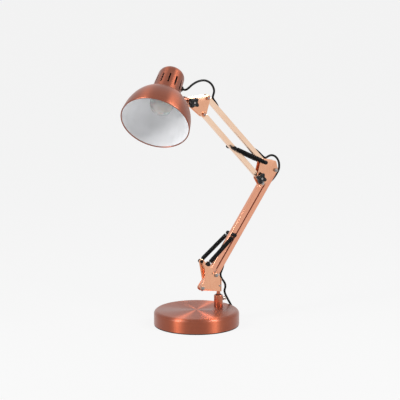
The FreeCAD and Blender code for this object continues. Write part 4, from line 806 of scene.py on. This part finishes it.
LOWER_ANCHOR = LOWER_INNER + LOWER_WAY * LOWER_ANCHOR_AT
UPPER_ANCHOR = ELBOW_INNER + UPPER_WAY * UPPER_ANCHOR_AT
spring_enamel = plain_finish("black enamelled spring wire", "#060606", "#0d0d0e", 3, 0.42, 0.5,
                             0.02, {"Specular IOR Level": 0.12})
dark_steel = plain_finish("blackened steel rod", "#0b0b0c", "#161617", 3, 0.45, 0.5, 0.02,
                          {"Specular IOR Level": 0.12})


def half_spring(pin, other, shrink=1.0):
    """The wire of half a spring: a hook round its pin, then a coil on the line to the other pin.

    The hook is a circle square to the rods, and the coil a helix about the line.
    """
    way = unit(other - pin)
    across = unit(np.cross(way, (0, 1, 0)))
    length = np.linalg.norm(other - pin)
    turn = np.linspace(math.radians(-HOOK_REACH), math.radians(HOOK_REACH), HOOK_STEPS)[:, None]
    hook = pin - HOOK_RADIUS * (np.cos(turn) * way + np.sin(turn) * across)
    reach = (length - 2 * COIL_INSET) * HALF_SHARE
    turns = reach / WIRE_PITCH
    steps = int(turns * TURN_STEPS)
    angle = np.linspace(0, 2 * math.pi * turns, steps)[:, None]
    second = np.cross(way, across)
    helix = (pin + way * (COIL_INSET + angle / (2 * math.pi) * WIRE_PITCH)
             + COIL_RADIUS * (np.cos(angle) * across + np.sin(angle) * second))
    return tube(np.concatenate([hook, helix]), WIRE_RADIUS * shrink, 8)


def spring_pair(name, foot, foot_y, top, top_y, foot_body, top_body, node):
    """Both springs of an arm, as the halves at the foot and the halves at the top."""
    feet, tops = [], []
    for side in (-1, 1):
        low, high = foot + (0, side * foot_y, 0), top + (0, side * top_y, 0)
        feet.append(half_spring(low, high))
        tops.append(half_spring(high, low, TOP_SHRINK))
    piece(name + "_feet", feet, spring_enamel, foot_body, [node], sharp=60)
    piece(name + "_tops", tops, spring_enamel, top_body, sharp=60)


def sleeves(centre, start, hook_y):
    """A grooved sleeve on each end of a rod."""
    end = hook_y + GROOVE / 2 + SLEEVE_END
    line = rounded([(ROD_RADIUS, start), (SLEEVE_RADIUS, start, 0.6),
                    (SLEEVE_RADIUS, hook_y - GROOVE / 2), (GROOVE_RADIUS, hook_y - GROOVE / 2, 0.3),
                    (GROOVE_RADIUS, hook_y + GROOVE / 2, 0.3), (SLEEVE_RADIUS, hook_y + GROOVE / 2),
                    (SLEEVE_RADIUS, end, 0.6), (ROD_RADIUS, end), (ROD_RADIUS, start)])
    return [turned(line, centre, (0, side, 0), 40) for side in (-1, 1)]


def rod(centre, hook_y):
    """A rod through both sleeves, chamfered at its ends."""
    half = hook_y + GROOVE / 2 + SLEEVE_END + ROD_PROUD
    line = [(0, -half), (ROD_RADIUS - ROD_CHAMFER, -half), (ROD_RADIUS, ROD_CHAMFER - half),
            (ROD_RADIUS, half - ROD_CHAMFER), (ROD_RADIUS - ROD_CHAMFER, half), (0, half)]
    return [turned(line, centre, (0, 1, 0), 32)]


def studs(centre, inner_face, hook_y):
    """A stud at each ear, its head inside, so that the bar can swing between them."""
    half = hook_y + GROOVE / 2 + SLEEVE_END + ROD_PROUD
    head = inner_face - STUD_CLEAR
    face = head - STUD_HEAD
    line = [(0, face), (STUD_HEAD_RADIUS - STUD_BREAK, face),
            (STUD_HEAD_RADIUS, head - (STUD_HEAD - STUD_BREAK)), (STUD_HEAD_RADIUS, head),
            (ROD_RADIUS, head), (ROD_RADIUS, half - ROD_CHAMFER),
            (ROD_RADIUS - ROD_CHAMFER, half), (0, half)]
    return [turned(line, centre, (0, side, 0), 32) for side in (-1, 1)]


EAR_FACE, BAR_FACE = PLATE_OUT + EAR_LEAN_OUT + 1.1, BAR_SIDE + 0.1
LOWER_FOOT_Y, UPPER_FOOT_Y, TOP_Y = 18.5, 17.0, 14.5
piece("lower_studs", studs(EAR, PLATE_IN + EAR_LEAN_OUT, LOWER_FOOT_Y), dark_steel,
      "bracket", ["lower_spring_studs"])
piece("lower_sleeves", sleeves(EAR, EAR_FACE, LOWER_FOOT_Y), black_moulding,
      "lower_springs", ["lower_spring_sleeves"])
piece("lower_anchor", rod(LOWER_ANCHOR, TOP_Y), dark_steel, "lower_inner_bar",
      ["lower_anchor_rod"])
piece("lower_top_sleeves", sleeves(LOWER_ANCHOR, BAR_FACE, TOP_Y), black_moulding,
      "lower_spring_tops", ["lower_anchor_sleeves"])
piece("upper_sleeves", sleeves(ELBOW_OUTER, PLATE_OUT + 0.1, UPPER_FOOT_Y), black_moulding,
      "upper_springs", ["upper_spring_sleeves"])
piece("upper_anchor", rod(UPPER_ANCHOR, TOP_Y), dark_steel, "upper_inner_bar",
      ["upper_anchor_rod"])
piece("upper_top_sleeves", sleeves(UPPER_ANCHOR, BAR_FACE, TOP_Y), black_moulding,
      "upper_spring_tops", ["upper_anchor_sleeves"])
spring_pair("lower_spring", EAR, LOWER_FOOT_Y, LOWER_ANCHOR, TOP_Y, "lower_springs",
            "lower_spring_tops", "lower_springs")
spring_pair("upper_spring", ELBOW_OUTER, UPPER_FOOT_Y, UPPER_ANCHOR, TOP_Y, "upper_springs",
            "upper_spring_tops", "upper_springs")


# ---------------------------------------------------------------------------
# The elbow and the head: pairs of flat copper plated cheeks that hold the bars
# apart, bolted through, each with a black four-lobed knob whose bolt clamps the
# joint.
# ---------------------------------------------------------------------------

KNOB_LOBES, KNOB_MEAN, KNOB_WAVE = 4, 10.4, 2.6
KNOB_COLLAR, KNOB_FRONT = 4.6, 12.6
knob_plastic = plain_finish("black phenolic knob", "#080809", "#101011", 9, 0.3, 0.6, 0.03,
                            {"Specular IOR Level": 0.3})


def knob(name, centre, turn, body, node):
    """A star knob: a turned drum whose edge swings in and out as a cosine, four times round."""
    line = rounded([(2.7, 0), (5.0, 0, 0.3), (5.0, KNOB_COLLAR), (KNOB_MEAN - 0.6, KNOB_COLLAR),
                    (KNOB_MEAN, KNOB_COLLAR + 0.8, 0.5), (KNOB_MEAN, KNOB_FRONT, 1.8),
                    (6.2, KNOB_FRONT), (5.4, KNOB_FRONT - 0.5, 0.4), (2.7, KNOB_FRONT - 0.5),
                    (2.7, 0)])

    def lobes(angle, reach):
        wave = np.cos(KNOB_LOBES * (angle + math.radians(turn)))
        return reach + KNOB_WAVE * wave * np.clip((reach - 6.5) / (KNOB_MEAN - 6.5), 0, 1)

    piece(name, [turned(line, centre + (0, -PLATE_OUT - 0.3, 0), (0, -1, 0), 128, lobes)],
          knob_plastic, body, [node])


def knob_bolt(centre):
    """The bolt of a knob: hexagon head on the far side, its tip at the knob's face."""
    tip = PLATE_OUT + 0.3 + KNOB_FRONT + 0.8
    line = [(0, -PLATE_OUT), (BOLT_RADIUS, -PLATE_OUT), (BOLT_RADIUS, tip - 0.5),
            (BOLT_RADIUS - 0.5, tip), (0, tip)]
    head = [(0, 0), (4.15, 0), (4.62, 0.4), (4.62, NUT_HEIGHT - 0.5), (4.0, NUT_HEIGHT),
            (0, NUT_HEIGHT)]
    return [turned(line, centre, (0, -1, 0), 32),
            turned(head, centre + (0, PLATE_OUT, 0), (0, 1, 0), 48, hexagon(NUT_FLATS))]


elbow_cheek = [(LOWER_INNER_TOP, 7.0), (LOWER_OUTER_TOP, 6.0), (ELBOW_CORNER, 5.0),
               (ELBOW_OUTER, 7.0), (ELBOW_INNER, 7.0)]
head_cheek = [(HEAD_PIVOT, 9.5), (UPPER_INNER_TOP, 6.6), (UPPER_OUTER_TOP, 6.6)]
for side, hand in ((-1, "near"), (1, "far")):
    piece("elbow_cheek_" + hand, [plate(elbow_cheek, side * PLATE_IN, side * PLATE_OUT)],
          sheet_copper, "elbow", ["elbow_plate_" + hand])
    piece("head_cheek_" + hand, [plate(head_cheek, side * PLATE_IN, side * PLATE_OUT)],
          sheet_copper, "head", ["head_plate_" + hand])

# painted shade: the same copper plating as the arms, given darker tones here for the shade the nuts
# sit in
nut_copper = brushed_copper("copper plate on the nuts", "#a0614a", "#c08468", 0.6, 0.3, (0, 1, 0))
piece("elbow_bolt_set", bolt(LOWER_INNER_TOP) + bolt(LOWER_OUTER_TOP) + knob_bolt(ELBOW_INNER),
      zinc, "elbow", ["elbow_bolts"])
piece("elbow_rod", rod(ELBOW_OUTER, UPPER_FOOT_Y), dark_steel, "elbow")
elbow_nuts = nut(LOWER_INNER_TOP) + nut(LOWER_OUTER_TOP)
for centre in (LOWER_INNER_TOP, LOWER_OUTER_TOP, ELBOW_INNER, ELBOW_OUTER):
    elbow_nuts += washers(centre)
piece("elbow_nut_set", elbow_nuts, zinc, "elbow", ["elbow_nuts"])
piece("head_bolt_set", bolt(UPPER_INNER_TOP) + bolt(UPPER_OUTER_TOP) + knob_bolt(HEAD_PIVOT),
      zinc, "head", ["head_bolts"])
head_nuts = nut(UPPER_INNER_TOP) + nut(UPPER_OUTER_TOP)
for centre in (UPPER_INNER_TOP, UPPER_OUTER_TOP, HEAD_PIVOT):
    head_nuts += washers(centre)
piece("head_nut_set", head_nuts, nut_copper, "head", ["head_nuts"])
knob("elbow_star_knob", ELBOW_INNER, 22.0, "elbow_knob", "elbow_knob")
knob("head_star_knob", HEAD_PIVOT, 40.0, "head_knob", "head_knob")


# ---------------------------------------------------------------------------
# The lug and the pin: a copper plated block tilts between the head's cheeks, and
# a pin in it lets the shade turn. A boss meets the cap's slope, and a nut
# inside the cap clamps the pin.
# ---------------------------------------------------------------------------

PIN_FALL, PIN_REACH, PIN_HEIGHT = 22.2, 65.64, 93.0
SHADE_LEAN, SHADE_TURN = 18.0, 35.98
PIN_WAY, PIN_UP = heading(-PIN_FALL), heading(90 - PIN_FALL)
PIN_RADIUS, LUG_RADIUS, COLLAR_RADIUS, COLLAR_END = 4.0, 8.0, 6.5, 20.0

# painted shade: the same copper plating as the arms, given darker tones here for the shade the lug
# lies in between the cheeks
lug_copper = brushed_copper("copper plate on the lug", "#9a553f", "#b5735a", 0.5, 0.3, PIN_WAY,
                            centre=HEAD_PIVOT)
eye = rounded([(0, -BAR_SIDE), (LUG_RADIUS, -BAR_SIDE, 0.5), (LUG_RADIUS, BAR_SIDE, 0.5),
               (0, BAR_SIDE)])
collar = rounded([(0, 0), (BAR_SIDE, 0), (BAR_SIDE, 12), (COLLAR_RADIUS, 13), (COLLAR_RADIUS,
                  COLLAR_END, 0.6), (0, COLLAR_END)])
piece("lug", [turned(eye, HEAD_PIVOT, (0, 1, 0), 64), turned(collar, HEAD_PIVOT, -PIN_WAY)],
      lug_copper, "lug", ["shade_lug"])

upright = PIN_UP * math.cos(math.radians(SHADE_TURN)) + np.array((0, 1, 0)) * math.sin(
    math.radians(SHADE_TURN))
SHADE_WAY = (PIN_WAY * math.sin(math.radians(SHADE_LEAN))
             + upright * math.cos(math.radians(SHADE_LEAN)))
SHADE_SIDE = unit(PIN_WAY - SHADE_WAY * math.sin(math.radians(SHADE_LEAN)))
SHADE_BACK = np.cross(SHADE_WAY, SHADE_SIDE)
SHADE_RIM = HEAD_PIVOT - PIN_WAY * PIN_REACH - SHADE_WAY * PIN_HEIGHT

pin = [(0, COLLAR_END - 1), (PIN_RADIUS, COLLAR_END - 1), (PIN_RADIUS, 48.0), (0, 48.0)]
piece("pin", [turned(pin, HEAD_PIVOT, -PIN_WAY, 40)], zinc, "shade",
      ["swivel_pin"])
dress(lug_copper, "pin_boss")


# ---------------------------------------------------------------------------
# The shade: spun from one disc of aluminium, copper plated and brushed outside
# and sprayed white inside. Upright slots let the heat out of its cap, and its
# rim is rolled over a bead.
# ---------------------------------------------------------------------------

RIM_RADIUS, DOME_HEIGHT, SHADE_HEIGHT = 76.1, 92.0, 155.0
CAP_FOOT, CAP_RADIUS, CAP_TAPER, CAP_ROUND = 88.0, 32.2, 3.3, 17.0
SLOT_WIDTH, SLOT_FOOT, SLOT_TOP = 3.6, 97.0, 125.0
BEAD = 1.3
SECTORS, SECTOR_STEPS = 12, 16
SLOTTED = range(2, 11)


def in_shade(local):
    """Places worked out in the shade's own frame, put where the shade is."""
    return (SHADE_RIM + local[..., :1] * SHADE_SIDE + local[..., 1:2] * SHADE_BACK
            + local[..., 2:] * SHADE_WAY)


def cap_radius(height):
    return CAP_RADIUS - (height - CAP_FOOT) * math.tan(math.radians(CAP_TAPER))


def spun(profile, steps=SECTORS * SECTOR_STEPS):
    """A profile carried round the shade's axis, half a sector on from its side."""
    angle = (np.arange(steps) / steps - 0.5 / SECTORS) * 2 * math.pi
    radius, height = np.array(profile, float).T
    local = np.stack([radius[:, None] * np.cos(angle), radius[:, None] * np.sin(angle),
                      np.repeat(height[:, None], steps, 1)], -1)
    points, faces = grid(local)
    return in_shade(points), faces


def slotted(middle, low, high):
    """One sector of the cap's wall round an upright slot with round ends.

    Rings of points run from the slot's edge to the sector's edge, both as angle and height.
    """
    m = SECTOR_STEPS
    share = np.arange(m) / m
    half_turn = math.pi / SECTORS
    edge = np.concatenate([
        np.stack([-half_turn + 2 * half_turn * share, np.full(m, low)], 1),
        np.stack([np.full(m, half_turn), low + (high - low) * share], 1),
        np.stack([half_turn - 2 * half_turn * share, np.full(m, high)], 1),
        np.stack([np.full(m, -half_turn), high - (high - low) * share], 1)])
    half, foot, top = SLOT_WIDTH / 2, SLOT_FOOT + SLOT_WIDTH / 2, SLOT_TOP - SLOT_WIDTH / 2
    bow = math.pi * share
    slot = np.concatenate([
        np.stack([-half * np.cos(bow), foot - half * np.sin(bow)], 1),
        np.stack([np.full(m, half), foot + (top - foot) * share], 1),
        np.stack([half * np.cos(bow), top + half * np.sin(bow)], 1),
        np.stack([np.full(m, -half), top - (top - foot) * share], 1)])
    slot[:, 0] /= cap_radius((low + high) / 2)
    t = np.array([0, 0.06, 0.2, 0.45, 0.75, 1.0])[:, None, None]
    spread = slot * (1 - t) + edge * t
    angle, height = spread[..., 0] + middle, spread[..., 1]
    radius = cap_radius(height)
    points, faces = grid(np.stack([radius * np.cos(angle), radius * np.sin(angle), height], -1))
    return in_shade(points), faces[:, ::-1]


def closed_sector(middle, low, high):
    """One sector of the cap's wall without a slot."""
    angle = middle + np.linspace(-1, 1, SECTOR_STEPS + 1) * math.pi / SECTORS
    height = np.repeat(np.linspace(low, high, SECTOR_STEPS + 1)[:, None], SECTOR_STEPS + 1, 1)
    radius = cap_radius(height)
    points, faces = grid(np.stack([radius * np.cos(angle), radius * np.sin(angle), height], -1),
                         around=False)
    return in_shade(points), faces


bow = np.linspace(math.radians(0.8), math.radians(62.6), 44)
dome = [(RIM_RADIUS * math.cos(t), DOME_HEIGHT * math.sin(t)) for t in bow]
meet = (cap_radius(83.2), 83.2)
WALL_LOW, WALL_HIGH = 91.0, 130.0
skirt = np.concatenate([np.array(dome), rounded([dome[-1], (*meet, 4.0),
                                                 (cap_radius(WALL_LOW), WALL_LOW)], 9)[1:]])
crown = rounded([(cap_radius(WALL_HIGH), WALL_HIGH),
                 (cap_radius(SHADE_HEIGHT), SHADE_HEIGHT, CAP_ROUND), (0, SHADE_HEIGHT)], 18)
walls = []
for sector in range(SECTORS):
    middle = sector * 2 * math.pi / SECTORS
    walls.append((slotted if sector in SLOTTED else closed_sector)(middle, WALL_LOW, WALL_HIGH))
# painted shade: the same copper plating as the arms, given much darker tones here to stand in for
# the dim surroundings the dome would mirror
shade_copper = brushed_copper("brushed copper plate on the shade", "#82402b", "#a05a40", 0.5,
                              0.36, SHADE_WAY, centre=SHADE_RIM, stretch=0.85)
white_paint = plain_finish("matt white spray enamel", "#dedfe1", "#e8e9eb", 30, 0.55, 0.7, 0.05)
shade = piece("shade_spun", [spun(skirt), spun(crown)] + walls, shade_copper,
              "shade", ["shade"], outwards=False)
shade.data.materials.append(white_paint)
wall = shade.modifiers.new("wall", "SOLIDIFY")
wall.thickness, wall.offset, wall.material_offset = 0.001, -1.0, 1
wall.use_even_offset = True

bow = np.linspace(0, 2 * math.pi, 25)
bead = np.stack([RIM_RADIUS - BEAD / 2 + BEAD * np.cos(bow), BEAD + BEAD * np.sin(bow)], 1)
piece("shade_rolled_rim", [spun(bead)], shade_copper, "shade")


# ---------------------------------------------------------------------------
# The lamp: an opal globe in a black holder with a brass shell, hung in the cap
# by a zinc strap. A rubber grommet takes the lead through the cap's wall.
# ---------------------------------------------------------------------------

GLOBE_RADIUS, GLOBE_CENTRE, NECK_TOP, NECK_RADIUS = 26.5, 59.5, 104.0, 13.0
# painted shade: opal glass is near white, and the globe is given grey tones for the lampshade's
# shadow that it sits in
opal = plain_finish("opal glass", "#9c9e9b", "#acadaa", 20, 0.3, 2.0, 0.01,
                    {"Subsurface Weight": 0.35, "Coat Weight": 0.5})
bow = np.linspace(math.radians(-90), math.radians(24), 40)
globe = [(GLOBE_RADIUS * math.cos(t), GLOBE_CENTRE + GLOBE_RADIUS * math.sin(t)) for t in bow]
globe[0] = (0.0, globe[0][1])
neck = rounded([globe[-1], (22.0, 75.6, 5.0), (14.4, 85.0, 10.0), (NECK_RADIUS, NECK_TOP)], 10)
points, faces = turned(np.concatenate([np.array(globe), neck[1:], [(0, NECK_TOP)]]),
                       (0, 0, 0), (0, 0, 1), 72)
piece("bulb", [(in_shade(points), faces)], opal, "shade", ["bulb_glass"])

brass = plain_finish("stamped brass", "#b08a45", "#c9a45c", 4, 0.3, 0.4, 0.02, {"Metallic": 1.0})
aluminium = plain_finish("plain aluminium", "#c4c5c6", "#d6d7d8", 4, 0.32, 0.4, 0.02,
                         {"Metallic": 1.0})
nickel = plain_finish("nickel plated brass", "#bdb8ac", "#d2cec4", 4, 0.2, 0.4, 0.01,
                      {"Metallic": 1.0})
dress(brass, "holder_contacts")
dress(aluminium, "bulb_screw_cap")
dress(black_moulding, "lamp_holder")
dress(zinc, "holder_strap")

GROMMET_TURN, GROMMET_HEIGHT = math.radians(-23.0), 118.0
outwards = (math.cos(GROMMET_TURN) * SHADE_SIDE + math.sin(GROMMET_TURN) * SHADE_BACK)
grommet_foot = SHADE_RIM + GROMMET_HEIGHT * SHADE_WAY
wall_at = cap_radius(GROMMET_HEIGHT)
rubber = plain_finish("black rubber", "#0b0b0b", "#151515", 5, 0.6, 0.5, 0.06, MATT_SKIN)
grommet = rounded([(FLEX / 2, wall_at - 3), (6.0, wall_at - 3, 1.0), (6.0, wall_at - 1),
                   (4.6, wall_at - 1), (4.6, wall_at - 0.2), (6.0, wall_at - 0.2),
                   (6.0, wall_at + 1.2, 0.8), (3.3, wall_at + 3, 0.6), (FLEX / 2, wall_at + 3),
                   (FLEX / 2, wall_at - 3)])
piece("grommet", [turned(grommet, grommet_foot, outwards, 48)], rubber, "shade",
      ["cord_grommet"])
dress(pvc_sheath, "cord_in_shade")


# ---------------------------------------------------------------------------
# The switch and the plug: an in-line rocker switch in a black housing of two
# halves, and a moulded two-pin plug with a tapered relief.
# ---------------------------------------------------------------------------

gloss_plastic = plain_finish("smooth black ABS", "#0b0b0b", "#131314", 12, 0.2, 0.6, 0.01,
                             {"Specular IOR Level": 0.3})
dress(black_moulding, "switch_base", "switch_cover", "plug_body")
dress(gloss_plastic, "switch_rocker")
dress(nickel, "plug_pins")
